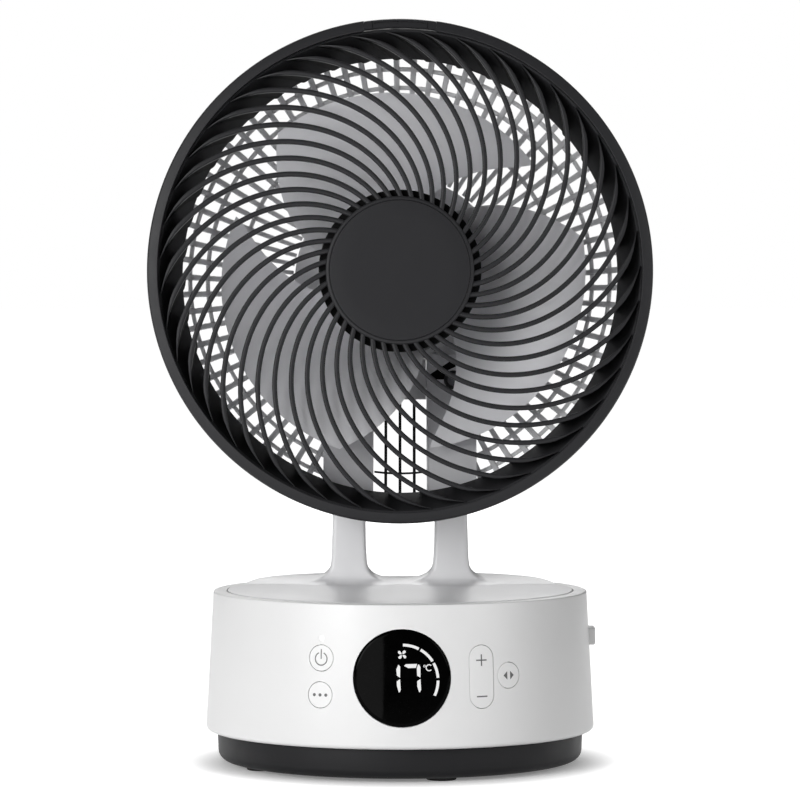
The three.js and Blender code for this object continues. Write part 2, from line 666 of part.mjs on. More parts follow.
// The black guard between the channels carries on the bowl with three upright bars. Three
// crossbars hold them: one behind the tilt housing, one in view and one behind the rim.
function slotGuard() {
  const half = CHANNEL.inner - GAP;
  const strip = [
    [65.2, 104.2], [69.4, 100.2], [76, 94.4], [92, 88.6], [110.8, 74.6], [133.6, 52.2],
    [131.9, 50.5], [109.4, 72.7], [90.8, 86.6], [74.6, 92.3], [67.8, 98.6], [63.8, 102.4],
  ];
  const bars = [-8.1, 0, 8.1];
  const edges = [-half - 1, ...bars.flatMap((x) => [x - 0.9, x + 0.9]), half + 1];
  const windows = [];
  for (let i = 0; i < edges.length; i += 2) {
    for (const rows of [[67.2, 109], [111, 129.5]]) {
      windows.push(block([edges[i], edges[i + 1]], rows, [30, 110]));
    }
  }
  return cutBy(alongX(strip, -half, half), windows);
}

// The domed cover behind the motor, cut flat above the tilt pivot and open at its front.
function rearCover() {
  const dome = [[56, 98.4], [56, 104.4], [52.6, 109.4], [44, 112.4], [0, 113.4]];
  const inside = [[53.6, 98.4], [53.6, 103.4], [50.6, 107.4], [43.4, 109.9], [0, 110.9]];
  const flat = CHANNEL.ceiling + 1.2;
  const below = block([-60, 60], [flat, 60], [90, 120]);
  const shell = turned([...dome, ...inside.reverse()]);
  const whole = turned([[0, 98.4], ...dome]);
  const wall = whole.intersect(block([-60, 60], [flat - 2.2, flat], [90, 120]));
  const vents = [-18, 0, 18].map((y) => block([-24, 24], [y - 2, y + 2], [104, 120]));
  return cutBy(shell.subtract(below).add(wall), vents);
}

// The block between the channels that carries the two pivot pins.
function tiltHousing() {
  const half = CHANNEL.inner - GAP;
  const low = CHANNEL.ceiling + 2.6;
  const side = [[low, 82], [68, 82], [68, 92], [62, 104], [low, 111]];
  const bore = alongX(circle(PIVOT.pin + 0.2, 20)
    .map(([a, b]) => [a + PIVOT_DOWN, b + PIVOT_BACK]), -20, 20);
  const core = block([-7, 7], [low - 1, 70], [80, 112]);
  return alongX(side, -half, half).subtract(bore.subtract(core));
}

function pivotRing(inner, outer, x0, x1) {
  const at = (points) => points.map(([a, b]) => [a + PIVOT_DOWN, b + PIVOT_BACK]);
  const ring = alongX(at(circle(outer, 20)), x0, x1);
  return inner > 0 ? ring.subtract(alongX(at(circle(inner, 20)), x0 - 1, x1 + 1)) : ring;
}

function addPivots() {
  for (const [name, side] of [['left', -1], ['right', 1]]) {
    const span = (from, to) => (side > 0 ? [from, to] : [-to, -from]);
    place(axis, `pivot_pin_${name}`, pivotRing(0, PIVOT.pin, ...span(7.4, 38)), STEEL);
    place(axis, `friction_washer_${name}`,
      pivotRing(PIVOT.pin + 0.3, 9.6, ...span(17.3, 20.2)), NYLON);
    place(axis, `pivot_cap_${name}`, pivotRing(0, 8, ...span(38.3, 40.6)), STEEL);
    const screw = cylinder(3.4, 68.2, 69.7, { x: side * 30.4, y: 57.5, sides: 12 });
    place(axis, `grille_screw_${name}`, screw, STEEL);
  }
}

// ---- motor and impeller ----------------------------------------------------------------

function motorHousing() {
  const { radius, front, rear } = MOTOR;
  return turned([
    [radius, front], [radius, rear], [11.3, rear], [11.3, rear - 5.2], [13, rear - 5.2],
    [13, rear - 2.2], [radius - 2, rear - 2.2], [radius - 2, front],
  ]);
}

function motorCap() {
  const { radius, front } = MOTOR;
  return turned([
    [11.3, front - 6], [13.6, front - 6], [13.6, front - 2.3], [radius, front - 2.3],
    [radius, front - GAP], [11.3, front - GAP],
  ]);
}

function stator() {
  const ring = tube(23, MOTOR.radius - 2.8, 70, 88, 24);
  const slots = Array.from({ length: 6 }, (_, i) => {
    const angle = (i * 60 + 30) * DEGREE;
    return cylinder(4, 69, 89, { x: 29.5 * Math.cos(angle), y: 29.5 * Math.sin(angle), sides: 6 });
  });
  return cutBy(ring, slots);
}

// The edges of one blade at a share of the way from the hub to the tip, seen from the
// front: their angles, anticlockwise. The leading edge runs out into a swept horn.
const bladeEdges = (share) => ({
  trailing: 172 - 40 * share - share ** 2,
  leading: 76 - 38.5 * share + 2.5 * share ** 12,
});

// A blade is hollow towards the front, and its tip draws in towards its leading edge.
function blade(turn) {
  const rows = 6;
  const columns = 7;
  const { hub_radius, tip_radius, tip_fall, front, rear, bow, thickness } = BLADES;
  const root = hub_radius - 2.5;
  const corner = (i, j, side) => {
    const along = j / columns;
    const tip = tip_radius - tip_fall * along ** 2;
    const radius = root + ((tip - root) * i) / rows;
    const share = Math.max(0, (radius - hub_radius) / (tip - hub_radius));
    const { trailing, leading } = bladeEdges(share);
    const angle = (trailing + (leading - trailing) * along + turn) * DEGREE;
    const depth = front + (rear - front) * along + bow * Math.sin(Math.PI * along);
    const z = depth + (side === 0 ? -thickness / 2 : thickness / 2);
    return [radius * Math.cos(angle), -radius * Math.sin(angle), z];
  };
  return sheetWork(rows, columns, corner, () => true, false);
}

function impeller() {
  const { hub_radius, count } = BLADES;
  const hub = turned([
    [0, 17], [26, 18.2], [hub_radius, 25], [hub_radius, 54], [35.4, 54],
    [35.4, 27], [28, 21.6], [9, 20.6], [9, 46], [0, 46],
  ]);
  const blades = Array.from({ length: count }, (_, i) => blade((i * 360) / count));
  return joined([hub, ...blades]).subtract(cylinder(MOTOR.shaft + 0.25, 0, 60, { sides: 12 }));
}

function bladeNut() {
  return turned([
    [MOTOR.shaft + 0.2, 16.6], [11, 16.6], [11, 13.5], [8, 9], [0, 8.6], [0, 10.4],
    [MOTOR.shaft + 0.2, 10.4],
  ], 16);
}

function addHead() {
  place(axis, 'front_grille', frontGrille(), BLACK);
  place(axis, 'centre_badge', badge(), BLACK);
  place(axis, 'grille_clip', grilleClip(), BLACK);
  place(axis, 'rear_grille', rearGrille(), WHITE);
  place(axis, 'slot_guard', slotGuard(), BLACK);
  place(axis, 'rear_cover', rearCover(), WHITE);
  place(axis, 'tilt_housing', tiltHousing(), PALE_GREY);
  addPivots();
  place(axis, 'motor_housing', motorHousing(), STEEL);
  place(axis, 'motor_cap', motorCap(), STEEL);
  place(axis, 'stator', stator(), COPPER);
  place(axis, 'front_bearing', tube(MOTOR.shaft + 0.1, 11, 60.2, 65.4, 16), STEEL);
  place(axis, 'rear_bearing', tube(MOTOR.shaft + 0.1, 11, 90.2, 94.7, 16), STEEL);
  place(axis, 'rotor', tube(MOTOR.shaft + 0.3, 22, 70, 88, 20), STEEL);
  place(axis, 'motor_shaft', cylinder(MOTOR.shaft, 10.8, 94.7, { sides: 12 }), STEEL);
  place(axis, 'impeller', impeller(), BLADE_GREY);
  place(axis, 'blade_nut', bladeNut(), BLACK);
}

addBase();
addTurntable();
addHead();

export default fan;
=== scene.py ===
"""The looks of a table-top air circulator fan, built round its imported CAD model.

Lengths are millimetres until a piece is placed. The base, the turntable and the arm are drawn
in the model's own frame. The head is drawn in the frame of the impeller's axis: x to the
viewer's right, y down, z back from the rim's front face.
"""

import json
import math

import bmesh
import bpy
from mathutils import Matrix, Vector

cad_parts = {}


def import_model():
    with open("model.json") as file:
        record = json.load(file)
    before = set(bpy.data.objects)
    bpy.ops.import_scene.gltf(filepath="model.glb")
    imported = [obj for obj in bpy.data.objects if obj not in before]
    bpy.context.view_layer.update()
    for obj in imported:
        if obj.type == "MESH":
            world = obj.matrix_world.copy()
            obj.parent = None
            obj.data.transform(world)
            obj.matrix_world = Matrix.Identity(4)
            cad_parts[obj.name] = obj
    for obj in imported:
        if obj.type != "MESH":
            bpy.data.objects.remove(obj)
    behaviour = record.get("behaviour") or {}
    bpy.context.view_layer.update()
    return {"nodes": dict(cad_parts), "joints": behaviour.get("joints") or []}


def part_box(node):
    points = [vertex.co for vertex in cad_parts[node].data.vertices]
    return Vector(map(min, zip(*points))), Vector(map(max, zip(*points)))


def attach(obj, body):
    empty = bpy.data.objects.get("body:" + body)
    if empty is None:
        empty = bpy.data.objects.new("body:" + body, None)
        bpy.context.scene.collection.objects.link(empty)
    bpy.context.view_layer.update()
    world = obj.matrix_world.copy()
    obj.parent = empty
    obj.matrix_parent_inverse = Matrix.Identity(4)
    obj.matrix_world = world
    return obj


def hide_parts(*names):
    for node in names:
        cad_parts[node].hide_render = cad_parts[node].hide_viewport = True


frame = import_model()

MM = Matrix.Scale(0.001, 4)
JOINTS = {joint["name"]: joint for joint in frame["joints"]}


def head_frame():
    """The frame of the impeller's axis at rest, from the joint that it spins on."""
    spin = JOINTS["fan_spin"]
    back = -Vector(spin["axis"]).normalized()
    right = Vector((1, 0, 0))
    down = back.cross(right)
    turned = Matrix((right, down, back)).transposed().to_4x4()
    return Matrix.Translation(Vector(spin["pos_m"])) @ turned @ MM


HEAD = head_frame()
HEAD_BODIES = ("head", "latch", "fan")


# ---- outlines and shapes ----
# A shape is (points, faces). Every shape is closed.

WELD = 1e-3


def rounded(corners, steps=5):
    """A closed outline through corners (a, b, radius), each rounded to its radius."""
    outline = []
    for i, (a, b, radius) in enumerate(corners):
        corner = Vector((a, b))
        if radius == 0:
            outline.append((a, b))
            continue
        to_last = (Vector(corners[i - 1][:2]) - corner).normalized()
        to_next = (Vector(corners[(i + 1) % len(corners)][:2]) - corner).normalized()
        half = to_last.angle(to_next) / 2
        centre = corner + (to_last + to_next).normalized() * (radius / math.sin(half))
        start = corner + to_last * (radius / math.tan(half)) - centre
        end = corner + to_next * (radius / math.tan(half)) - centre
        turn = math.atan2(start.x * end.y - start.y * end.x, start.dot(end))
        for step in range(steps + 1):
            c, s = math.cos(turn * step / steps), math.sin(turn * step / steps)
            outline.append((centre.x + start.x * c - start.y * s,
                            centre.y + start.x * s + start.y * c))
    return outline


def smooth_path(points, steps):
    """Points along a smooth curve through the given points."""
    found = []
    padded = [points[0], *points, points[-1]]
    for i in range(1, len(padded) - 2):
        p0, p1, p2, p3 = (Vector(p) for p in padded[i - 1:i + 3])
        for step in range(steps):
            t = step / steps
            found.append(0.5 * (2 * p1 + (p2 - p0) * t + (2 * p0 - 5 * p1 + 4 * p2 - p3) * t * t
                                + (3 * p1 - p0 - 3 * p2 + p3) * t ** 3))
    found.append(Vector(points[-1]))
    return found


def arc(radius, start, end, steps, centre=(0, 0)):
    """Points on an arc, angles in degrees, both ends included."""
    angles = [math.radians(start + (end - start) * i / steps) for i in range(steps + 1)]
    return [(centre[0] + radius * math.cos(a), centre[1] + radius * math.sin(a)) for a in angles]


def rectangle(half_width, half_height, radius):
    """An outline about the origin with rounded corners."""
    w, h = half_width, half_height
    return rounded([(-w, -h, radius), (w, -h, radius), (w, h, radius), (-w, h, radius)])


def on_line(value, start, end):
    """The second number where the first is the value, on the line through two pairs."""
    return start[1] + (end[1] - start[1]) * (value - start[0]) / (end[0] - start[0])


def ease(value, start, end):
    """From 0 at the start to 1 at the end, level at both."""
    share = min(1.0, max(0.0, (value - start) / (end - start)))
    return share * share * (3 - 2 * share)


def lathe(outline, sides=160):
    """A closed outline of (radius, z) turned about Z."""
    points = []
    for i in range(sides):
        angle = 2 * math.pi * i / sides
        points += [(r * math.cos(angle), r * math.sin(angle), z) for r, z in outline]
    count = len(outline)
    faces = []
    for i in range(sides):
        here, there = i * count, (i + 1) % sides * count
        for j in range(count):
            k = (j + 1) % count
            if outline[j][0] > 1e-6 or outline[k][0] > 1e-6:
                faces.append((here + j, here + k, there + k, there + j))
    return points, faces


def loft(sections, closed=False):
    """Skin over a row of loops with equal counts, capped at its ends unless it closes."""
    count = len(sections[0])
    points = [tuple(p) for section in sections for p in section]
    faces = []
    for i in range(len(sections) if closed else len(sections) - 1):
        here, there = i * count, (i + 1) % len(sections) * count
        for j in range(count):
            k = (j + 1) % count
            faces.append((here + j, here + k, there + k, there + j))
    if not closed:
        faces.append(tuple(range(count))[::-1])
        faces.append(tuple(range(len(points) - count, len(points))))
    return points, faces


def merged(shapes):
    """Several shapes as one."""
    points, faces = [], []
    for more_points, more_faces in shapes:
        shift = len(points)
        points += more_points
        faces += [tuple(i + shift for i in face) for face in more_faces]
    return points, faces


def prism(outline, z0, z1):
    """An outline of (x, y) from z0 to z1."""
    return loft([[(x, y, z) for x, y in outline] for z in (z0, z1)])


def block(x, y, z):
    return prism([(x[0], y[0]), (x[1], y[0]), (x[1], y[1]), (x[0], y[1])], *z)


def along_x(outline, x0, x1):
    """An outline of (y, z) from x0 to x1."""
    return loft([[(x, y, z) for y, z in outline] for x in (x0, x1)])


def shifted(shape, x, y):
    points, faces = shape
    return [(px + x, py + y, pz) for px, py, pz in points], faces


def placed(name, data):
    """A new object of the scene."""
    thing = bpy.data.objects.new(name, data)
    bpy.context.scene.collection.objects.link(thing)
    return thing


def mesh_of(name, shape, matrix=Matrix.Identity(4)):
    """A Blender mesh with welded corners and faces turned outward."""
    points, faces = shape
    mesh = bpy.data.meshes.new(name)
    mesh.from_pydata([matrix @ Vector(p) for p in points], [], faces)
    work = bmesh.new()
    work.from_mesh(mesh)
    bmesh.ops.remove_doubles(work, verts=work.verts, dist=WELD * matrix.to_scale().x)
    bmesh.ops.recalc_face_normals(work, faces=work.faces)
    work.to_mesh(mesh)
    work.free()
    return mesh


def combined(operation, first, *others):
    """The union, difference or intersection of closed shapes, as one shape."""
    temporary = [placed("temporary", mesh_of("temporary", shape)) for shape in (first, *others)]
    for other in temporary[1:]:
        modifier = temporary[0].modifiers.new("combine", "BOOLEAN")
        modifier.operation = operation
        modifier.solver = "MANIFOLD"
        modifier.object = other
    graph = bpy.context.evaluated_depsgraph_get()
    mesh = bpy.data.meshes.new_from_object(temporary[0].evaluated_get(graph))
    shape = [tuple(v.co) for v in mesh.vertices], [tuple(p.vertices) for p in mesh.polygons]
    for thing in temporary:
        bpy.data.objects.remove(thing)
    return shape


# ---- materials ----


def linear(level):
    """A screen level from 0 to 255 as a linear value."""
    share = level / 255
    return share / 12.92 if share <= 0.04045 else ((share + 0.055) / 1.055) ** 2.4


def grey(level, blueness=0.0):
    """A grey of that screen level, with its blue that much higher."""
    return linear(level), linear(level), linear(level + blueness)


NOISE_SPAN = (0.3, 0.7)  # where most of a noise's values lie


class Nodes:
    """A short way to add and link the nodes of one material."""

    def __init__(self, name):
        self.material = bpy.data.materials.new(name)
        self.material.use_nodes = True
        self.tree = self.material.node_tree
        self.shader = self.tree.nodes["Principled BSDF"]
        self.place = self.add("ShaderNodeTexCoord").outputs["Object"]

    def add(self, kind, **values):
        node = self.tree.nodes.new(kind)
        for key, value in values.items():
            if hasattr(node, key):
                setattr(node, key, value)
            else:
                node.inputs[key.replace("_", " ").title()].default_value = value
        return node

    def link(self, source, target):
        self.tree.links.new(source, target)

    def put(self, socket, value):
        """A value that is the same all over, on the shader's own socket."""
        self.shader.inputs[socket].default_value = value

    def feed(self, source, socket):
        self.link(source, self.shader.inputs[socket])

    def noise(self, scale, detail=3.0, stretch=None):
        """Noise over the surface, scale in cells per metre, stretched by a vector."""
        node = self.add("ShaderNodeTexNoise", scale=scale, detail=detail)
        source = self.place
        if stretch:
            mapping = self.add("ShaderNodeMapping", scale=stretch)
            self.link(source, mapping.inputs["Vector"])
            source = mapping.outputs["Vector"]
        self.link(source, node.inputs["Vector"])
        return node.outputs["Fac"]

    def ramp(self, factor, low, high):
        """A colour that goes from low to high over a noise's span."""
        node = self.add("ShaderNodeValToRGB")
        for element, position, colour in zip(node.color_ramp.elements, NOISE_SPAN, (low, high)):
            element.position = position
            element.color = (*colour, 1)
        self.link(factor, node.inputs["Fac"])
        return node.outputs["Color"]

    def spread(self, factor, low, high, start=NOISE_SPAN[0], end=NOISE_SPAN[1], **values):
        """A value that goes from low to high as the factor goes from start to end."""
        node = self.add("ShaderNodeMapRange", from_min=start, from_max=end, to_min=low,
                        to_max=high, **values)
        self.link(factor, node.inputs["Value"])
        return node.outputs["Result"]

    def maths(self, operation, first, second):
        node = self.add("ShaderNodeMath", operation=operation)
        self.link(first, node.inputs[0])
        self.link(second, node.inputs[1])
        return node.outputs[0]

    def bump(self, height, depth, strength=0.3):
        """Relief from a height, depth in metres."""
        node = self.add("ShaderNodeBump", strength=strength, distance=depth)
        self.link(height, node.inputs["Height"])
        self.feed(node.outputs["Normal"], "Normal")


def plastic(name, colour, roughness, grain=3200, relief=0.00006, strength=0.25, drift=0.025,
            gloss=0.5, translucence=0.0):
    """Moulded plastic: an even fine grain, slightly uneven gloss, and a faint drift of tone."""
    nodes = Nodes(name)
    nodes.put("Specular IOR Level", gloss)
    if translucence:
        nodes.put("Subsurface Weight", translucence)
        nodes.put("Subsurface Radius", (1.0, 1.0, 1.0))
        nodes.put("Subsurface Scale", 0.004)
    darker, lighter = (tuple(c * (1 + change) for c in colour) for change in (-drift, drift))
    nodes.feed(nodes.ramp(nodes.noise(14, 2.0), darker, lighter), "Base Color")
    gloss_noise = nodes.noise(60, 3.0)
    nodes.feed(nodes.spread(gloss_noise, roughness - 0.03, roughness + 0.03), "Roughness")
    nodes.bump(nodes.noise(grain, 2.0), relief, strength)
    return nodes.material


def metal(name, colour, roughness, stretch):
    """Plated or brushed metal, with its fine lines along one direction."""
    nodes = Nodes(name)
    lines = nodes.noise(900, 2.0, stretch)
    darker = tuple(c * 0.88 for c in colour)
    nodes.feed(nodes.ramp(lines, darker, colour), "Base Color")
    nodes.feed(nodes.spread(lines, roughness - 0.05, roughness + 0.08), "Roughness")
    nodes.put("Metallic", 1.0)
    nodes.bump(lines, 0.00004, 0.2)
    return nodes.material


def lens_material():
    """Polished black lens with a trace of unevenness in its gloss."""
    nodes = Nodes("lens_black")
    nodes.put("Specular IOR Level", 0.03)
    nodes.feed(nodes.ramp(nodes.noise(400, 4.0), grey(1), grey(3)), "Base Color")
    nodes.feed(nodes.spread(nodes.noise(30, 2.0), 0.05, 0.09), "Roughness")
    return nodes.material


def lit(name, level, strength):
    """Something lit, with a trace of unevenness."""
    nodes = Nodes(name)
    nodes.put("Base Color", (*grey(40), 1))
    nodes.feed(nodes.ramp(nodes.noise(900, 1.0), grey(level - 6), grey(level)), "Emission Color")
    nodes.put("Emission Strength", strength)
    nodes.put("Roughness", 0.4)
    return nodes.material


def winding_material():
    """Enamelled wire, as close fine bands."""
    nodes = Nodes("winding_copper")
    bands = nodes.noise(1500, 1.0, (1, 8, 1))
    nodes.feed(nodes.ramp(bands, (0.22, 0.07, 0.02), (0.7, 0.33, 0.15)), "Base Color")
    nodes.put("Metallic", 0.8)
    nodes.put("Roughness", 0.35)
    nodes.bump(bands, 0.0002, 0.6)
    return nodes.material


SHELL = plastic("shell_white", grey(238), 0.4, drift=0.006)
KEY_FACE = plastic("key_white", grey(240), 0.38, drift=0.006)
ARM = plastic("arm_white", grey(222, 1.5), 0.34, drift=0.008)
BOWL_WHITE = plastic("bowl_white", grey(238, 2.0), 0.42, drift=0.015, translucence=0.6)
# The bowl's white plastic made darker and without its translucence for the channels: painted shade.
CHANNEL_WHITE_SHADED = plastic("channel_white_painted_shade", grey(226, 3.0), 0.45, drift=0.015)
GRILLE = plastic("grille_black", grey(39, 2.0), 0.44, drift=0.05, gloss=0.18)
THROAT = plastic("throat_black", grey(46, 2.0), 0.7, drift=0.05, gloss=0.12)
BADGE = plastic("badge_black", grey(42, 2.0), 0.52, grain=2200, relief=0.0001, drift=0.04,
                gloss=0.12)
PAN = plastic("pan_black", grey(23, 2.0), 0.5, drift=0.05, gloss=0.2)
GUARD = plastic("guard_black", grey(40, 2.0), 0.45, drift=0.05, gloss=0.3)
BLADE = plastic("blade_grey", grey(242, 4.0), 0.36, grain=2600, relief=0.00003, drift=0.02)
PRINT = plastic("print_grey", grey(96), 0.5, drift=0.03)
INLET_WHITE = plastic("inlet_white", grey(226), 0.42, drift=0.01)
# Near-black matte: painted shade on the throat's fins, on the hub's plate between the ribs and on
# the channels' panels; also the socket's sleeve.
BLACK_AND_PAINTED_SHADE = plastic("black_and_painted_shade", grey(12), 0.8, drift=0.05, gloss=0.08)
NYLON = plastic("nylon_natural", (0.76, 0.73, 0.63), 0.48, relief=0.00008, drift=0.03)
RUBBER = plastic("foot_rubber", grey(26), 0.82, grain=1800, relief=0.0002, strength=0.5)
BOARD = plastic("board_green", (0.02, 0.16, 0.07), 0.45, grain=700, drift=0.12)
STEEL = metal("steel_plated", (0.58, 0.58, 0.6), 0.28, (1, 1, 30))
BLACKED = metal("steel_blacked", (0.09, 0.09, 0.1), 0.42, (1, 1, 30))
MOTOR = metal("motor_steel", (0.5, 0.5, 0.52), 0.36, (30, 1, 1))
COPPER = winding_material()
LENS = lens_material()
SEGMENT = lit("segment_white", 246, 0.9)
LED = lit("led_white", 250, 0.95)


# ---- placing pieces ----


def piece(name, shape, material, body, replaces=(), crease=34):
    """One shaded piece that rides on a body. Edges sharper than the crease stay sharp."""
    mesh = mesh_of(name, shape, HEAD if body in HEAD_BODIES else MM)
    mesh.polygons.foreach_set("use_smooth", [True] * len(mesh.polygons))
    mesh.set_sharp_from_angle(angle=math.radians(crease))
    mesh.materials.append(material)
    thing = placed(name, mesh)
    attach(thing, body)
    if replaces:
        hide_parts(*replaces)
    return thing


def round_edges(thing, width, sharper_than=30):
    """A fine rounding of the edges that are sharper than an angle."""
    edges = thing.modifiers.new("edges", "BEVEL")
    edges.width = width / 1000
    edges.segments = 2
    edges.limit_method = "ANGLE"
    edges.angle_limit = math.radians(sharper_than)
    return edges


def dress(node, material, bevel=0.3):
    """A CAD node that stays: its finish, and a fine rounding of its edges."""
    thing = frame["nodes"][node]
    thing.data.materials.clear()
    thing.data.materials.append(material)
    round_edges(thing, bevel, 40).harden_normals = True


# ---- front grille ----

RIM_OUTER, RIM_INNER, RIM_BACK = 139.7, 133.7, 44
WALL_TOP, WALL_BOTTOM = (132.7, 5.6), (121.8, 42.0)
RIB_COUNT, RIB_HALF, RIB_BACK = 43, 1.38, 6.1
RIB_FIRST, RIB_THINS, RIB_LAST = 40.3, 124.5, 132.5
SPIRAL_START, HOOK_START = 46.3, 124
FIN_HALF, FIN_FIRST, FIN_DEEP, FIN_THINS, FIN_BACK = 0.62, 117.6, 122.0, 126, 41.0
HUB_RING, HUB_PLATE, BADGE_RADIUS, BADGE_SIDE = 41.0, 45.0, 38.9, 0.12
LATCH_HALF, LATCH_SIDE, LATCH_ROOM = 20.0, 0.1, 13.3


def rib_angle(radius):
    """The spiral of the ribs: the angle in radians, anticlockwise from the viewer's right."""
    run = radius - SPIRAL_START
    hook = max(0.0, radius - HOOK_START)
    return math.radians(0.49 + 0.575 * run + 0.000991 * run * run + 0.0329 * hook * hook)


def on_spiral(radius, turn):
    angle = rib_angle(radius) + turn
    return Vector((radius * math.cos(angle), -radius * math.sin(angle)))


def wall_depth(radius):
    """How deep the throat's wall lies at a radius."""
    return on_line(min(radius, WALL_TOP[0]), WALL_TOP, WALL_BOTTOM)


def rib_front(radius):
    return 0.6 + 3.2 * max(0.0, (radius - 126) / 6.5) ** 2


def along_spiral(first, turn, section_at, steps=46):
    """Sections of (across, z) set along one rib's spiral from a radius to the rib's end."""
    sections = []
    for i in range(steps + 1):
        radius = first + (RIB_LAST - first) * i / steps
        here = on_spiral(radius, turn)
        along = (on_spiral(radius + 0.2, turn) - on_spiral(radius - 0.2, turn)).normalized()
        across = Vector((-along.y, along.x))
        sections.append([(here.x + across.x * u, here.y + across.y * u, z)
                         for u, z in section_at(radius)])
    return loft(sections)


def rib(turn):
    """A shallow blade across the opening, which runs out to a point at the rim."""
    def section_at(radius):
        half = RIB_HALF * (1 - 0.8 * ease(radius, RIB_THINS, RIB_LAST))
        front = rib_front(radius)
        back = max(RIB_BACK, front + 2.0)
        return [(-half, front + 0.95), (-0.88 * half, front + 0.3), (-0.55 * half, front),
                (0.55 * half, front), (0.88 * half, front + 0.3), (half, front + 0.95),
                (0.9 * half, back), (-0.9 * half, back)]
    return along_spiral(RIB_FIRST, turn, section_at)


def fin(turn):
    """The wall that ties a rib to the throat behind it."""
    def section_at(radius):
        half = FIN_HALF * (1 - 0.5 * ease(radius, FIN_THINS, RIB_LAST))
        depth = min(wall_depth(radius) + 0.6, FIN_BACK)
        back = RIB_BACK + (depth - RIB_BACK) * ease(radius, FIN_FIRST, FIN_DEEP)
        return [(-half, RIB_BACK - 0.4), (half, RIB_BACK - 0.4), (half, back), (-half, back)]
    return along_spiral(FIN_FIRST, turn, section_at, 18)


def clip_sector(angle, inner, outer, z0, z1, shift=0.0):
    """A piece of the rim at the top, between two radii and two depths. Angles are degrees."""
    outline = (arc(outer, -90 - angle + shift, -90 + angle + shift, 18)
               + arc(inner, -90 + angle + shift, -90 - angle + shift, 18))
    return prism(outline, z0, z1)


def clip_room(inner):
    """The latch's room in the rim, with upright sides so that the latch can sink into it."""
    half, outer = LATCH_HALF + LATCH_SIDE, 145
    wide, narrow = (math.degrees(math.asin(half / radius)) for radius in (inner, outer))
    outline = arc(outer, -90 - narrow, -90 + narrow, 18) + arc(inner, -90 + wide, -90 - wide, 18)
    return prism(outline, -1, LATCH_ROOM)


def front_grille():
    """The rim with its leaning face, the throat inside it, the ribs and the hub they meet at."""
    rim = lathe(rounded([
        (RIM_INNER, 0, 0.4), (139.2, 1.5, 0.9), (RIM_OUTER, 3.2, 0.7), (138.6, RIM_BACK, 0.4),
        (136.2, RIM_BACK, 0.4), (137.4, 7.6, 0.8), (RIM_INNER, 7.6, 0.3),
    ], 6), 288)
    throat = lathe(rounded([
        (133.9, WALL_TOP[1], 0.2), (135.4, 8.4, 0.3), (124.0, WALL_BOTTOM[1], 0.5),
        (*WALL_BOTTOM, 0.5), (*WALL_TOP, 0.4),
    ], 4), 240)
    rim = combined("DIFFERENCE", rim, clip_room(133.0))
    throat = combined("DIFFERENCE", throat, clip_room(134.1))
    piece("grille_rim", rim, GRILLE, "head", ["front_grille"])
    piece("grille_throat", throat, THROAT, "head")
    turns = [2 * math.pi * i / RIB_COUNT for i in range(RIB_COUNT)]
    ribs = merged([rib(turn) for turn in turns])
    piece("grille_ribs", ribs, GRILLE, "head", crease=50)
    # The fins are the grille's own black plastic; their near-black finish is painted shade on their
    # sides.
    fins = merged([fin(turn) for turn in turns])
    piece("throat_fins", fins, BLACK_AND_PAINTED_SHADE, "head", crease=50)
    bore = BADGE_RADIUS + BADGE_SIDE
    plate = lathe(rounded([
        (0, 3.0, 0), (bore, 3.0, 0), (bore, -0.4, 0.2),
        (HUB_RING, -0.2, 1.0), (HUB_RING, 5.2, 0.3), (HUB_PLATE, 5.6, 0.4), (HUB_PLATE, 6.6, 0.2),
        (0, 6.6, 0),
    ]), 192)
    piece("grille_hub", plate, GRILLE, "head")
    # A thin near-black ring laid on the hub's plate between the ribs: painted shade where the plate
    # lies deep in shadow.
    inner, outer = HUB_RING + 0.02, HUB_PLATE - 0.3
    slot_shade = rounded([(inner, 4.9, 0), (outer, 5.3, 0.2), (outer, 5.7, 0), (inner, 5.4, 0)], 3)
    piece("hub_slot_shade", lathe(slot_shade, 192), BLACK_AND_PAINTED_SHADE, "head")


def centre_badge():
    disc = lathe(rounded([
        (0, -0.9, 0), (30, -0.85, 30), (BADGE_RADIUS, -0.6, 0.7), (BADGE_RADIUS, 2.7, 0.3),
        (0, 2.7, 0),
    ]), 192)
    piece("badge_disc", disc, BADGE, "head", ["centre_badge"])


LATCH = [(134.5, 0.35), (139.0, 1.55), (139.5, 3.2), (139.25, 13), (136.0, 13), (136.0, 5.2),
         (134.5, 5.2)]


def grille_clip():
    """The release latch: a bar that carries on the rim's face, with a long finger groove."""
    sections = [[(r * c, r * s, z) for r, z in LATCH] for c, s in arc(1, -99, -81, 36)]
    groove = clip_sector(5.9, 137.0, 137.8, -1, 2.4)
    seams = [clip_sector(0.08, 135, 141, -1, 1.9, shift) for shift in (-6.4, 6.4)]
    nick = clip_sector(0.22, 136.6, 138.2, -1, 2.4, -0.5)
    upright = block((-LATCH_HALF, LATCH_HALF), (-150, -120), (-2, 14))
    bar = combined("INTERSECT", loft(sections), upright)
    bar = combined("DIFFERENCE", bar, groove, *seams, nick)
    round_edges(piece("latch_bar", bar, GRILLE, "latch", ["grille_clip"]), 0.12)


# ---- rear grille ----

BAR_COUNT, BAR_OUTER, BAR_INNER, BAR_FIRST = 77, 3.6, 2.3, math.radians(2.1)
SLOT_INNER, SLOT_OUTER, SLOT_WALL, SLOT_CEILING = 15.1, 43.2, 1.8, 42.4
BOWL = [(138.0, 46.5), (134.4, 52.6), (112.8, 73), (100.5, 83.4), (84, 92.4), (60, 97.6)]
BOWL_PATH = smooth_path(BOWL, 8)
RINGS = (120.0, 110.4, 91.8)
PANEL_TOP, PANEL_FOOT, SLOT_END = (SLOT_CEILING, 79.4), (123.0, 47.6), 131.5


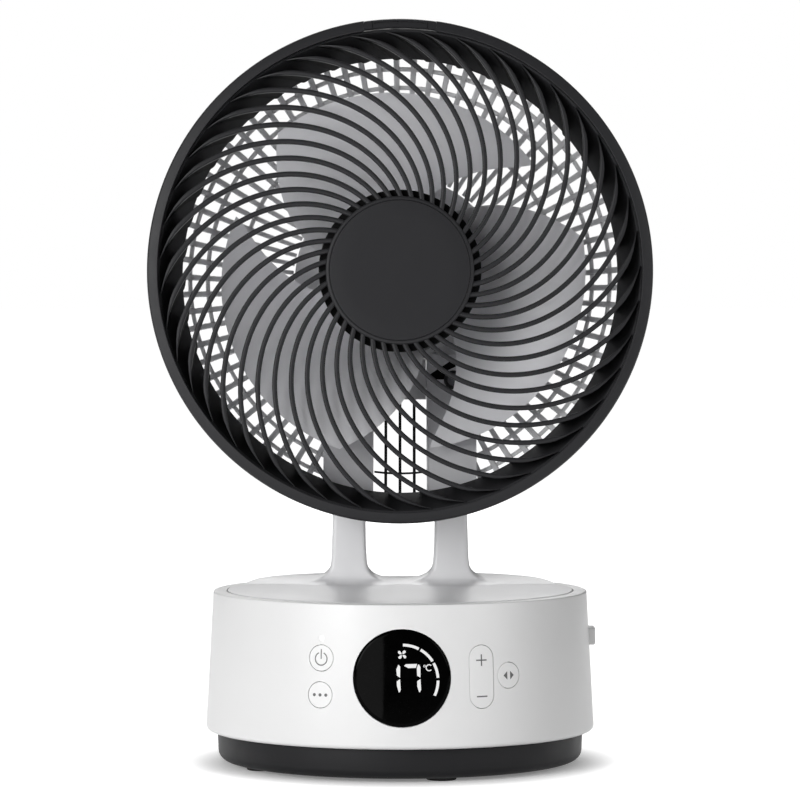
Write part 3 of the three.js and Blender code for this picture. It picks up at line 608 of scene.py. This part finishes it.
def bowl_depth(radius):
    """How deep the bowl's outer surface lies at a radius."""
    for outer, inner in zip(BOWL_PATH, BOWL_PATH[1:]):
        if inner.x <= radius <= outer.x:
            return on_line(radius, outer, inner)
    return 98.0 if radius < 60 else 44.4


def in_slots(x, y):
    return abs(x) < SLOT_OUTER - SLOT_WALL / 2 and y > SLOT_CEILING


def bar(angle):
    """One bar of the bowl from its rim to its hub, or to the channels' outer wall."""
    sections = []
    for here, ahead in zip(BOWL_PATH, BOWL_PATH[1:]):
        x, y = here.x * math.cos(angle), -here.x * math.sin(angle)
        if in_slots(x, y):
            break
        along = (ahead - here).normalized()
        inward = Vector((along.y, -along.x))
        if inward.y > 0:
            inward = -inward
        share = (here.x - 60) / 78
        half = (BAR_INNER + (BAR_OUTER - BAR_INNER) * share) / 2
        section = [(-half, 0.9), (-half * 0.7, 0.1), (half * 0.7, 0.1), (half, 0.9),
                   (half, 2.9), (half * 0.7, 3.6), (-half * 0.7, 3.6), (-half, 2.9)]
        loop = []
        for across, depth in section:
            radius, z = here.x + inward.x * depth, here.y + inward.y * depth
            loop.append((radius * math.cos(angle) + across * math.sin(angle),
                         -radius * math.sin(angle) + across * math.cos(angle), z))
        sections.append(loop)
    return loft(sections) if len(sections) > 2 else None


def ring(radius):
    """A ring of the bowl, broken where the channels pass."""
    open_half = math.degrees(math.asin((SLOT_OUTER - SLOT_WALL / 2) / radius))
    steps = 150
    depth = bowl_depth(radius)
    sections = []
    for i in range(steps + 1):
        angle = math.radians(-90 + open_half + (360 - 2 * open_half) * i / steps)
        loop = []
        for out, back in ((1.2, -0.6), (0.7, -0.1), (-0.7, -0.1), (-1.2, -0.6), (-1.2, -2.2),
                          (-0.7, -2.8), (0.7, -2.8), (1.2, -2.2)):
            reach = radius - 1.0 + out
            loop.append((reach * math.cos(angle), -reach * math.sin(angle), depth + back))
        sections.append(loop)
    return loft(sections)


def panel_depth(y):
    """How deep the channels' sloping panel lies at a height below the axis."""
    return on_line(y, PANEL_TOP, PANEL_FOOT)


def wall_plate(x0, x1):
    """A side wall of a channel: from the sloping panel back to the bowl's surface."""
    steps = 26
    sections = []
    for i in range(steps + 1):
        y = SLOT_CEILING + (SLOT_END - SLOT_CEILING) * i / steps
        front = max(panel_depth(y), 48.2)
        sections.append([(x0, y, front), (x1, y, front),
                         (x1, y, max(bowl_depth(math.hypot(x1, y)), front + 0.4)),
                         (x0, y, max(bowl_depth(math.hypot(x0, y)), front + 0.4))])
    return loft(sections)


def channel(side):
    """The channel that one leg of the arm moves in: its sloping panel, walls and ceiling."""
    x0, x1 = sorted((side * SLOT_INNER, side * SLOT_OUTER))
    (ty, tz), (fy, fz) = PANEL_TOP, PANEL_FOOT
    panel = along_x(rounded([
        (ty, tz, 0.5), (fy, fz, 2), (fy + 8, fz + 0.4, 0.3), (fy + 8, fz + 2.4, 0.3),
        (fy, fz + 2.1, 2), (ty, tz + 2.1, 0.3),
    ]), x0, x1)
    ceiling = along_x([(ty, tz + 0.4), (ty + SLOT_WALL, tz + 0.4), (ty + SLOT_WALL, 96.6),
                       (ty, 96.6)], x0, x1)
    lips = [along_x([(ty + 1, tz - 0.9), (fy, fz - 0.5), (fy, fz + 1), (ty + 1, tz + 1)], *edge)
            for edge in ((x0, x0 + 0.9), (x1 - 0.9, x1))]
    walls = [wall_plate(x0, x0 + SLOT_WALL), wall_plate(x1 - SLOT_WALL, x1)]
    return combined("UNION", panel, ceiling, *walls, *lips)


# The outline of the near-black plate on each channel's panel: painted shade.
POCKET_SHADE = [(16.2, 54.7), (28.2, 46.8), (31.6, 47.8), (31.6, 49.7), (27.2, 51.7), (24.8, 57.1),
          (16.2, 57.1)]
BOSS_X, BOSS_Y = 30.4, 57.5


def pivot_details(side):
    """A near-black plate laid on the panel beside a channel's screw boss, painted shade of a recess
    there, and the boss with its ringed top.
    """
    pocket_shade = loft([[(side * x, y, panel_depth(y) + back) for x, y in POCKET_SHADE]
                   for back in (-0.35, 0.3)])
    boss = lathe(rounded([
        (0, 69.9, 0), (3.6, 69.9, 0.1), (3.9, 71.2, 0.2), (4.4, 71.2, 0.2), (4.6, 70.2, 0.2),
        (5.4, 70.2, 0.3), (5.6, 76, 0.2), (0, 76, 0),
    ], 3), 64)
    return pocket_shade, shifted(boss, side * BOSS_X, BOSS_Y)


def rear_grille():
    bars = [bar(BAR_FIRST + 2 * math.pi * i / BAR_COUNT) for i in range(BAR_COUNT)]
    net = [shape for shape in bars if shape] + [ring(radius) for radius in RINGS]
    outer = lathe(rounded([(138.4, 44.4, 0.4), (137.6, 50.2, 1), (134.8, 50.2, 1),
                           (135.9, 44.4, 0.4)]), 240)
    hub = lathe(rounded([(44.6, 95.6, 0.5), (60.5, 94.6, 0.8), (60.5, 97.4, 1.0),
                         (56, 98, 2), (44.6, 98, 0.5)]), 128)
    below = block((-SLOT_OUTER + 1, SLOT_OUTER - 1), (SLOT_CEILING + 1, 150), (51, 110))
    hub = combined("DIFFERENCE", hub, below)
    piece("bowl_bars", merged([*net, outer, hub]), BOWL_WHITE, "head",
          ["rear_grille"], crease=45)
    channels = merged([channel(side) for side in (-1, 1)])
    # The channels wear the darker copy of the bowl's white: painted shade.
    piece("bowl_channels", channels, CHANNEL_WHITE_SHADED, "head")
    pocket_shades, bosses = zip(*(pivot_details(side) for side in (-1, 1)))
    # Near-black plates on the panels: painted shade.
    piece("channel_pocket_shade", merged(pocket_shades), BLACK_AND_PAINTED_SHADE, "head")
    piece("channel_bosses", merged(bosses), GUARD, "head")


GUARD_PATH = [(64.5, 103.2), (68.6, 99.4), (75.3, 93.4), (91.4, 87.8), (110.2, 73.6),
              (132.6, 51.4)]
GUARD_BARS, GUARD_REACH, GUARD_RING = (-8.1, 0, 8.1), 14.6, 110.6


def guard():
    """Three upright bars between the channels, tied by a bowed bar and a bar at each end."""
    path = smooth_path(GUARD_PATH, 8)
    shapes = []
    for x in GUARD_BARS:
        sections = []
        for i, point in enumerate(path):
            ahead = path[min(i + 1, len(path) - 1)] - path[max(i - 1, 0)]
            normal = Vector((-ahead.y, ahead.x)).normalized()
            sections.append([(x + across, point.x + normal.x * out, point.y + normal.y * out)
                             for across, out in ((-0.85, -0.8), (-0.5, -1.1), (0.5, -1.1),
                                                 (0.85, -0.8), (0.85, 1.1), (-0.85, 1.1))])
        shapes.append(loft(sections))
    bow = []
    half_angle = math.degrees(math.asin(GUARD_REACH / GUARD_RING))
    for x, y in arc(GUARD_RING, 90 - half_angle, 90 + half_angle, 12):
        bow.append([(x, y - 0.6, 72.2), (x, y + 0.6, 72.2), (x, y + 0.6, 74.4), (x, y - 0.6, 74.4)])
    shapes.append(loft(bow))
    for y, z in ((65.4, 102.6), (131.2, 52.9)):
        shapes.append(block((-GUARD_REACH, GUARD_REACH), (y - 1.2, y + 1.2), (z - 0.9, z + 0.9)))
    piece("guard_bars", merged(shapes), GUARD, "head", ["slot_guard"])


def rear_cover():
    """The domed cover behind the motor, cut flat above the tilt pivot, with three vents."""
    outside = [(0, 113.4, 0), (44, 112.4, 18), (56, 104.4, 6), (56, 98.4, 0.3)]
    inside = [(53.6, 98.4, 0.3), (53.6, 103.4, 5), (43, 110, 16), (0, 110.9, 0)]
    flat, sheet = SLOT_CEILING + 1.2, 2.2
    below = block((-60, 60), (flat, 60), (90, 120))
    dome = combined("DIFFERENCE", lathe(rounded(outside + inside, 8)), below)
    whole = lathe(rounded([*outside, (0, 98.4, 0)], 8))
    wall = combined("INTERSECT", whole, block((-60, 60), (flat - sheet, flat), (90, 120)))
    vents = [prism(arc(2, 90, 270, 10, (-22, middle)) + arc(2, -90, 90, 10, (22, middle)), 104, 120)
             for middle in (-18, 0, 18)]
    cover = combined("DIFFERENCE", combined("UNION", dome, wall), *vents)
    piece("motor_cover", cover, BOWL_WHITE, "head", ["rear_cover"])


# ---- motor and impeller ----

BLADE_HUB, BLADE_TIP, BLADE_TIP_FALL = 38.0, 103.6, 5.5
BLADE_BOW, BLADE_HALF = 5.0, 1.05


def motor():
    can = rounded([(42, 66, 0.4), (42, 95.2, 3), (11.3, 95.2, 0.3), (11.3, 90, 0.3),
                   (13, 90, 0.3), (13, 93, 0.3), (40, 93, 2), (40, 66, 0.3)])
    piece("motor_can", lathe(can, 128), MOTOR, "head", ["motor_housing"])
    cap = rounded([(11.3, 60, 0.3), (13.6, 60, 0.3), (13.6, 63.7, 0.6), (42, 63.7, 0.8),
                   (42, 65.7, 0.2), (11.3, 65.7, 0.2)])
    piece("motor_front", lathe(cap, 128), MOTOR, "head", ["motor_cap"])


def blade_edges(share):
    """The angles of a blade's trailing and leading edges at a share of the way to its tip."""
    return 172 - 40 * share - share * share, 76 - 38.5 * share + 2.5 * share ** 12


def blade_depths(share):
    """How deep the two edges lie: the blade is steep at its hub and flat at its tip."""
    return 17.0 + 6.0 * share, 54.0 - 8.0 * share


def blade(turn):
    """A swept sheet that thins towards its edges and draws in towards its leading edge."""
    rows, columns = 26, 36
    upper, lower = [], []
    for i in range(rows + 1):
        for j in range(columns + 1):
            along = j / columns
            tip = BLADE_TIP - BLADE_TIP_FALL * along * along
            radius = BLADE_HUB - 2 + (tip - BLADE_HUB + 2) * i / rows
            share = max(0.0, (radius - BLADE_HUB) / (tip - BLADE_HUB))
            trailing, leading = blade_edges(share)
            front, rear = blade_depths(share)
            angle = math.radians(trailing + (leading - trailing) * along + turn)
            nearest = min(min(along, 1 - along) * 9, (rows - i) / 2.5)
            half = BLADE_HALF * min(1.0, 0.35 + nearest * 0.65)
            depth = front + (rear - front) * along + BLADE_BOW * math.sin(math.pi * along)
            x, y = radius * math.cos(angle), -radius * math.sin(angle)
            upper.append((x, y, depth - half))
            lower.append((x, y, depth + half))
    width = columns + 1
    shift = len(upper)
    faces = []
    for i in range(rows):
        for j in range(columns):
            a, b = i * width + j, i * width + j + 1
            c, d = b + width, a + width
            faces += [(a, b, c, d), (a + shift, d + shift, c + shift, b + shift)]
    border = ([*range(columns)] + [i * width + columns for i in range(rows)]
              + [rows * width + columns - j for j in range(columns)]
              + [(rows - i) * width for i in range(rows)])
    for a, b in zip(border, border[1:] + border[:1]):
        faces.append((a, b, b + shift, a + shift))
    return upper + lower, faces


def impeller():
    hub = lathe(rounded([
        (4.3, 17.2, 0.3), (26, 18.2, 8), (BLADE_HUB, 25, 6), (BLADE_HUB, 54, 0.6),
        (35.4, 54, 0.5), (35.4, 27, 4), (28, 21.6, 4), (9, 20.6, 1), (9, 46, 0.5), (4.3, 46, 0.3),
    ]), 128)
    blades = merged([blade(120 * i) for i in range(3)])
    piece("impeller_hub", hub, BLADE, "fan", ["impeller"])
    piece("impeller_blades", blades, BLADE, "fan", crease=60)


# ---- base ----

WALL_LOW, WALL_HIGH = (22.0, 108.9), (94.6, 104.9)  # (z, radius)
DISPLAY = {"azimuth": 0.6, "z": 57.2, "radius": 26.1}
POWER = {"azimuth": -23.5, "z": 67.3, "radius": 6.95}
MODE = {"azimuth": -23.6, "z": 47.5, "radius": 6.95}
SWING = {"azimuth": 33.3, "z": 57.2, "radius": 6.95}
SPEED = {"azimuth": 24.3, "z": 57.2, "radius": 7.05, "reach": 9.9}
STATUS = {"azimuth": -23.4, "z": 78.0, "radius": 1.9}
INLET = {"azimuth": 90, "z": 70.9}
INLET_HALF_WIDTH, INLET_HALF_HEIGHT = 7.0, 4.95
KEY_GAP, LIGHT_GAP = 0.3, 0.05
PRINT_LIFT, SEGMENT_LIFT, MARK_DEPTH = 0.04, 0.62, 0.3  # marks stand proud of the wall


def wall_radius(z):
    return on_line(z, WALL_LOW, WALL_HIGH)


def on_wall(place, sideways, up, lift=0.0):
    """A point on the base's wall, sideways and up from a feature, lifted off the surface."""
    azimuth = math.radians(place["azimuth"])
    z = place["z"] + up
    out = math.sqrt((wall_radius(z) + lift) ** 2 - sideways ** 2)
    return (out * math.sin(azimuth) + sideways * math.cos(azimuth),
            -out * math.cos(azimuth) + sideways * math.sin(azimuth), z)


def key_outline(place, inset=0.0):
    """A round or long outline around a feature, drawn in by an inset."""
    radius, reach = place["radius"] - inset, place.get("reach", 0)
    return arc(radius, 0, 180, 30, (0, reach)) + arc(radius, 180, 360, 30, (0, -reach))


def wall_button(place, lift, depth, edge):
    """A key or lens that follows the wall. Edge is how far its rim is rounded."""
    loops = [(place["radius"] * k, lift) for k in (0.985, 0.93, 0.8, 0.6, 0.4, 0.25)]
    loops += [(edge * 1.7, lift), (edge * 1.2, lift), (edge * 0.5, lift - edge * 0.12),
              (edge * 0.13, lift - edge * 0.5), (0, lift - edge), (0, lift - depth)]
    sections = []
    for inset, height in loops:
        if inset > edge * 1.3:
            shrink = 1 - inset / place["radius"]
            outline = [(x * shrink, y * shrink) for x, y in key_outline(place)]
        else:
            outline = key_outline(place, inset)
        sections.append([on_wall(place, x, y, height) for x, y in outline])
    return loft(sections)


def wall_cutter(outline, place, start=90, end=115):
    """A straight bar out through the wall round a feature."""
    azimuth = math.radians(place["azimuth"])
    sections = []
    for out in (start, end):
        sections.append([(out * math.sin(azimuth) + x * math.cos(azimuth),
                          -out * math.cos(azimuth) + x * math.sin(azimuth), place["z"] + y)
                         for x, y in outline])
    return loft(sections)


def ribbon(path, width, place, lift=PRINT_LIFT, closed=False):
    """A printed or lit line of that width on the wall."""
    sections = []
    count = len(path)
    for i, (x, y) in enumerate(path):
        before = path[i - 1] if i or closed else path[0]
        after = path[(i + 1) % count] if i < count - 1 or closed else path[-1]
        along = (Vector(after) - Vector(before)).normalized()
        ax, ay = -along.y * width / 2, along.x * width / 2
        back = lift - MARK_DEPTH
        sections.append([on_wall(place, x + side * ax, y + side * ay, height)
                         for side, height in ((1, lift), (-1, lift), (-1, back), (1, back))])
    return loft(sections, closed)


def patch(outline, place, lift=PRINT_LIFT):
    """A printed or lit spot of any simple outline on the wall."""
    return loft([[on_wall(place, x, y, height) for x, y in outline]
                 for height in (lift, lift - MARK_DEPTH)])




def power_symbol():
    ring_path = arc(3.45, 90 + 24, 360 + 90 - 24, 28, (0, -0.4))
    return [ribbon(path, 0.62, POWER) for path in (ring_path, [(0, -0.5), (0, 2.2), (0, 4.8)])]


def mode_symbol():
    return [patch(arc(0.88, 0, 345, 23, (x, 0)), MODE) for x in (-3.4, 0, 3.4)]


def swing_symbol():
    half = [(3.3, 0), (0.95, 2.3), (0.95, -2.3)]
    return [patch([(x * side, y) for x, y in half], SWING) for side in (-1, 1)]


def speed_symbols():
    reach, line = 3.1, 0.7
    plus = [(-reach, 8.9), (0, 8.9), (reach, 8.9)]
    upright = [(0, 8.9 - reach), (0, 8.9), (0, 8.9 + reach)]
    minus = [(-reach, -10.6), (0, -10.6), (reach, -10.6)]
    return [ribbon(path, line, SPEED) for path in (plus, upright, minus)]


def keys():
    for name, place, depth, symbol in (
            ("power", POWER, 5.0, power_symbol), ("mode", MODE, 5.0, mode_symbol),
            ("swing", SWING, 5.0, swing_symbol), ("speed", SPEED, 4.4, speed_symbols)):
        body = f"{name}_key"
        piece(f"{name}_key_face", wall_button(place, 0.0, depth, 0.25), KEY_FACE, body,
              [f"key_{name}"], crease=50)
        piece(f"{name}_key_print", merged(symbol()), PRINT, body)


# The segments of the two digits, each an outline from the display's centre.
DIGITS = (
    ((-2.02, 7.4), (-1.04, 6.5), (-1.1, 0.45), (-2.8, 1.6), (-3.1, 4.9)),
    ((-1.1, -0.25), (-2.88, -1.5), (-2.76, -4.0), (-1.8, -7.3), (-1.24, -7.3), (-0.73, -6.0)),
    ((1.04, 6.8), (2.1, 7.7), (8.05, 7.8), (7.4, 5.7), (3.3, 5.6)),
    ((8.55, 7.4), (9.06, 7.5), (9.85, 6.1), (9.85, 0.65), (9.45, 0.65), (8.05, 1.6), (7.9, 5.5)),
    ((9.85, -0.25), (8.12, -1.4), (8.12, -4.2), (9.14, -7.3), (9.6, -7.3), (10.2, -6.0)),
)


def display():
    piece("display_face", wall_button(DISPLAY, 0.5, 3.7, 1.1), LENS, "base",
          ["display_lens"], crease=60)
    level_centre, level_radius = (0.3, -1.1), 19.0
    level = [ribbon(arc(level_radius, 90 - start, 90 - end, 10, level_centre), 1.45, DISPLAY,
                    SEGMENT_LIFT)
             for start, end in ((0.5, 27), (30.5, 57.5), (61, 86), (90.5, 115.5))]
    icon = []
    for i in range(4):
        turn = math.radians(45 + 90 * i)
        petal = [(0.25, 0.0), (1.3, 0.95), (2.4, 0.85), (2.75, 0.0), (2.3, -0.55), (1.2, -0.45)]
        icon.append([(x * math.cos(turn) - y * math.sin(turn),
                      x * math.sin(turn) + y * math.cos(turn) + 12.8) for x, y in petal])
    degree = ribbon(arc(0.5, 0, 330, 11, (12.0, 6.6)), 0.3, DISPLAY, SEGMENT_LIFT, closed=True)
    letter = ribbon(arc(1.6, 45, 315, 20, (14.5, 5.7)), 0.55, DISPLAY, SEGMENT_LIFT)
    lit_shapes = [patch(outline, DISPLAY, SEGMENT_LIFT) for outline in (*icon, *DIGITS)]
    piece("display_segments", merged([*level, *lit_shapes, degree, letter]), SEGMENT, "base")
    piece("status_light", wall_button(STATUS, 0.08, 4.0, 0.2), LED, "base",
          ["status_led"], crease=50)


def base_shell():
    shell = lathe(rounded([
        (105.4, 18.8, 0.3), (109.03, 18.8, 2.4), (104.8, 96.5, 0.9), (97.4, 96.5, 0.35),
        (97.4, 88, 0.5), (24, 88, 0.3), (24, 85.6, 0.3), (102.2, 85.6, 2),
    ], 6), 320)
    cutters = [wall_cutter(key_outline(place, -KEY_GAP), place)
               for place in (DISPLAY, POWER, MODE, SWING, SPEED)]
    cutters.append(wall_cutter(key_outline(STATUS, -LIGHT_GAP), STATUS))
    opening = rectangle(INLET_HALF_WIDTH + 0.5, INLET_HALF_HEIGHT + 0.55, 1)
    cutters.append(wall_cutter(opening, INLET))
    piece("shell_wall", combined("DIFFERENCE", shell, *cutters), SHELL, "base",
          ["base_shell"], crease=28)


def power_inlet():
    """The socket's boss, rounded, with its bore open to the right."""
    sections = []
    for out, inset in ((96, 0), (108.7, 0), (109.2, 0.15), (109.5, 0.6)):
        outline = rectangle(INLET_HALF_WIDTH - inset, INLET_HALF_HEIGHT - inset, 1.2)
        sections.append([(out, x, INLET["z"] + y) for x, y in outline])
    bore, outside, inside = (wall_cutter(arc(radius, 0, 354, 59), INLET, start, end)
                             for radius, start, end in ((3.4, 98, 112), (3.38, 98.1, 109.1),
                                                        (2.9, 98.6, 112)))
    boss = combined("DIFFERENCE", loft(sections), bore)
    piece("socket_boss", boss, INLET_WHITE, "base", ["power_inlet"])
    sleeve = combined("DIFFERENCE", outside, inside)
    piece("socket_sleeve", sleeve, BLACK_AND_PAINTED_SHADE, "base")


FOOT_HEIGHT, FOOT_TOP, FOOT_SOLE = 1.9, 8.8, 8.0


def base_pan():
    pan = lathe(rounded([
        (0, FOOT_HEIGHT, 0), (101.9, FOOT_HEIGHT, 5.5), (102.6, 18.3, 0.4), (102, 18.3, 0.2),
        (102, 29, 0.4), (99.6, 29, 0.4), (98.8, 6, 4), (94, 4.5, 3), (0, 4.5, 0),
    ], 7), 256)
    post = lathe(rounded([(0, 4, 0), (5, 4, 0), (5, 85.3, 0.6), (0, 85.3, 0)]), 40)
    posts = [shifted(post, x, y) for x, y in ((0, -62), (-60, 55), (60, 55))]
    piece("pan_dish", combined("UNION", pan, *posts), PAN, "base", ["base_pan"])


def feet():
    pad = lathe(rounded([(0, 0, 0), (FOOT_SOLE, 0, 0.6), (FOOT_TOP, FOOT_HEIGHT, 0.2),
                         (0, FOOT_HEIGHT, 0)]), 48)
    for i in range(1, 6):
        low, high = (corner * 1000 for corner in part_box(f"foot_{i}"))
        centre = (low + high) / 2
        foot = shifted(pad, centre.x, centre.y)
        piece(f"foot_pad_{i}", foot, RUBBER, "base", [f"foot_{i}"])


# ---- turntable and arm ----

DISC_TOP, DISC_RADIUS = 96.8, 97
LEG_HEIGHTS = [96.86, 97.0, 97.2, 97.5, 98.0, 98.6, 99.3, 100.0, 100.8, 101.6, 102.6, 103.6, 104.8,
               106.2, 108.0, 110.5, 114, 118, 124, 132, 142, 160, 180, 198, 208, 213, 215.5, 218,
               220, 221.6, 222.8, 223.6, 224.0]
INNER_EDGE = [(96.8, 2.0), (97.6, 4.2), (98.4, 7.4), (99.3, 10.6), (100.3, 13.2), (101.8, 15.7),
              (104.4, 18.0), (107.3, 18.9), (116, 19.5), (130, 19.8), (230, 19.8)]
OUTER_EDGE = [(96.8, 60.0), (97.5, 55.5), (98.4, 51.2), (99.4, 47.9), (100.4, 45.4), (101.6, 43.3),
              (103.2, 41.5), (105.6, 40.1), (110, 39.4), (124, 38.9), (140, 38.4), (230, 38.4)]
FRONT_FACE = [(96.8, 26.0), (97.0, 31.0), (97.4, 35.0), (98.1, 38.2), (99.2, 40.2), (100.6, 41.2),
              (103.0, 41.8), (106.5, 42), (230, 42)]
BACK_FACE = [(96.8, 76.0), (99.8, 70.0), (102.2, 65.6), (106, 62.8), (112, 62), (230, 62)]
EAR_CENTRE, EAR_RADIUS, EAR_START = (52.0, 213.0), 11.0, 190


def follow(table, z):
    """The value at a height, between the nearest two of the table's (z, value) pairs."""
    for low, high in zip(table, table[1:]):
        if low[0] <= z <= high[0]:
            return on_line(z, low, high)
    return table[-1][1]


def leg(side):
    """One leg as level slices, which flare into the foot and close over the pivot's ear."""
    sections = []
    for z in LEG_HEIGHTS:
        inner, outer = follow(INNER_EDGE, z), follow(OUTER_EDGE, z)
        front, back = follow(FRONT_FACE, z), follow(BACK_FACE, z)
        if z > EAR_START:
            narrow = ease(z, EAR_START, EAR_CENTRE[1])
            reach = EAR_RADIUS
            if z > EAR_CENTRE[1]:
                reach = math.sqrt(max(0.6, EAR_RADIUS ** 2 - (z - EAR_CENTRE[1]) ** 2))
            front += (EAR_CENTRE[0] - reach - front) * narrow
            back += (EAR_CENTRE[0] + reach - back) * narrow
        flare = FRONT_FACE[-1][1] - follow(FRONT_FACE, z)
        corner = min(2.6 + 0.6 * flare, (back - front) / 2.2, (outer - inner) / 2.2)
        outline = rounded([(inner, front, corner), (outer, front, corner),
                           (outer, back, corner), (inner, back, corner)], 6)
        sections.append([(x * side, y, z) for x, y in outline])
    return loft(sections)


FOOT_RADIUS, FOOT_CHORD, WEB_HALF, WEB_TOP, WEB_BACK = 96.8, 36.0, 20.6, 98.2, 64.0
FOOT_SLOPE = [(FOOT_CHORD, 96.88), (40, 97.5), (44, 98.1), (48, 98.6), (53, 99.05), (60, 99.4),
              (70, 99.6), (100, 99.7)]


def foot_plate():
    """The arm's foot: the part of a disc behind a chord, which swells up to the back.

    Only a low web is left of it between the legs.
    """
    ramp = along_x([(100, DISC_TOP + 0.05), (FOOT_CHORD, DISC_TOP + 0.05), *FOOT_SLOPE], -100, 100)
    round_plate = lathe(rounded([(0, 96, 0), (FOOT_RADIUS, 96, 0), (FOOT_RADIUS, 103, 0),
                                 (0, 103, 0)]), 240)
    above_web = block((-WEB_HALF, WEB_HALF), (43, WEB_BACK + 1), (WEB_TOP, 110))
    behind_web = block((-WEB_HALF, WEB_HALF), (WEB_BACK, 110), (DISC_TOP - 1, 110))
    plate = combined("INTERSECT", ramp, round_plate)
    return combined("DIFFERENCE", plate, above_web, behind_web)


def arm():
    _, y, z = JOINTS["head_tilt"]["pos_m"]
    bore = along_x(arc(5.15, 0, 354, 59, (y * 1000, z * 1000)), -50, 50)
    body = combined("DIFFERENCE", combined("UNION", foot_plate(), leg(-1), leg(1)), bore)
    piece("arm_body", body, ARM, "turntable", ["arm"], crease=40)


def turntable():
    disc = lathe(rounded([
        (0, DISC_TOP, 0), (DISC_RADIUS, DISC_TOP, 0.6), (DISC_RADIUS, 91, 0.4), (94.6, 91, 0.4),
        (94.6, 94.2, 0.3), (22, 94.2, 0.5), (22, 77.9, 0.4), (12, 77.9, 0.4), (12, 94.2, 0.3),
        (0, 94.2, 0),
    ], 6), 320)
    piece("turntable_top", disc, ARM, "turntable", ["turntable_disc"])


# ---- pieces that stay as they are ----


def dress_the_rest():
    dress("tilt_housing", ARM, 0.8)
    dress("blade_nut", GRILLE)
    dress("stator", COPPER)
    for node in ("main_board", "display_board", "key_board_left", "key_board_right"):
        dress(node, BOARD, 0.15)
    for node in ("turntable_gear", "swing_pinion", "thrust_ring", "friction_washer_left",
                 "friction_washer_right"):
        dress(node, NYLON, 0.2)
    for node in ("pivot_pin_left", "pivot_pin_right", "pivot_cap_left", "pivot_cap_right",
                 "front_bearing", "rear_bearing", "motor_shaft", "inlet_pin"):
        dress(node, STEEL, 0.25)
    for node in ("grille_screw_left", "grille_screw_right"):
        dress(node, BLACKED, 0.25)
    for node in ("swing_motor", "rotor"):
        dress(node, MOTOR)


# ---- stage ----

CAMERA_DISTANCE, CAMERA_HEIGHT, FOCAL_PIXELS, HORIZON_ROW = 2.240, 0.273, 3991, 275.6
IMAGE_SIDE, SENSOR = 800, 36.0
FLOOR_REACH = 30
FLOOR_GLOW = (0.18, 1.0, 0.092, 0.14)  # the strengths at two distances, and the distances
AMBIENT = 0.08
LAMP_TARGET = Vector((0, 0, 0.2))
LAMPS = (("key", (-1.85, -2.22, 0.85), 1.3, 56), ("front", (-0.95, -2.65, 0.3), 1.0, 11),
         ("right", (2.2, -1.6, 1.0), 1.3, 20), ("back", (-0.2, 2.2, 1.2), 1.4, 15))


def floor():
    """A white floor that glows for the camera, less so near the object to keep its shadow."""
    mesh = bpy.data.meshes.new("floor")
    far = FLOOR_REACH
    corners = [(-far, -far, 0), (far, -far, 0), (far, far, 0), (-far, far, 0)]
    mesh.from_pydata(corners, [], [(0, 1, 2, 3)])
    thing = placed("floor", mesh)
    nodes = Nodes("floor_white")
    nodes.feed(nodes.ramp(nodes.noise(3, 2.0), grey(246), grey(250)), "Base Color")
    nodes.put("Roughness", 0.9)
    nodes.put("Specular IOR Level", 0.0)
    distance = nodes.add("ShaderNodeVectorMath", operation="LENGTH")
    nodes.link(nodes.place, distance.inputs[0])
    rise = nodes.spread(distance.outputs["Value"], *FLOOR_GLOW, interpolation_type="SMOOTHSTEP")
    seen = nodes.add("ShaderNodeLightPath").outputs
    either = nodes.maths("MAXIMUM", seen["Is Camera Ray"], seen["Is Glossy Ray"])
    glow = nodes.add("ShaderNodeEmission")
    nodes.link(nodes.maths("MULTIPLY", rise, either), glow.inputs["Strength"])
    both = nodes.add("ShaderNodeAddShader")
    nodes.link(nodes.shader.outputs[0], both.inputs[0])
    nodes.link(glow.outputs[0], both.inputs[1])
    nodes.link(both.outputs[0], nodes.tree.nodes["Material Output"].inputs["Surface"])
    mesh.materials.append(nodes.material)


def world():
    """A white backdrop for the camera, and a level ambient light for the object."""
    surroundings = bpy.data.worlds.new("studio")
    bpy.context.scene.world = surroundings
    surroundings.use_nodes = True
    tree = surroundings.node_tree
    path = tree.nodes.new("ShaderNodeLightPath")
    mix = tree.nodes.new("ShaderNodeMixShader")
    tree.links.new(path.outputs["Is Camera Ray"], mix.inputs[0])
    ambient, backdrop = tree.nodes["Background"], tree.nodes.new("ShaderNodeBackground")
    for i, (node, strength) in enumerate(((ambient, AMBIENT), (backdrop, 1.0)), 1):
        node.inputs["Color"].default_value = (1, 1, 1, 1)
        node.inputs["Strength"].default_value = strength
        tree.links.new(node.outputs[0], mix.inputs[i])
    tree.links.new(mix.outputs[0], tree.nodes["World Output"].inputs["Surface"])


def lamps():
    """Square soft lights that face the object, with places and sizes in metres."""
    for name, place, size, power in LAMPS:
        data = bpy.data.lights.new(name, "AREA")
        data.shape = "SQUARE"
        data.size = size
        data.energy = power
        thing = placed(name, data)
        thing.location = place
        thing.rotation_mode = "QUATERNION"
        thing.rotation_quaternion = (LAMP_TARGET - Vector(place)).to_track_quat("-Z", "Y")


def camera():
    data = bpy.data.cameras.new("camera")
    data.sensor_width = SENSOR
    data.lens = FOCAL_PIXELS / IMAGE_SIDE * SENSOR
    data.clip_start, data.clip_end = 0.05, 100
    thing = placed("camera", data)
    pitch = math.atan((IMAGE_SIDE / 2 - HORIZON_ROW) / FOCAL_PIXELS)
    thing.location = (0, -CAMERA_DISTANCE, CAMERA_HEIGHT)
    thing.rotation_euler = (math.pi / 2 - pitch, 0, 0)
    bpy.context.scene.camera = thing


for make in (front_grille, centre_badge, grille_clip, rear_grille, guard, rear_cover, motor,
             impeller, base_shell, base_pan, feet, keys, display, power_inlet, turntable, arm,
             dress_the_rest, floor, world, lamps, camera):
    make()
bpy.context.scene.view_settings.view_transform = "Standard"
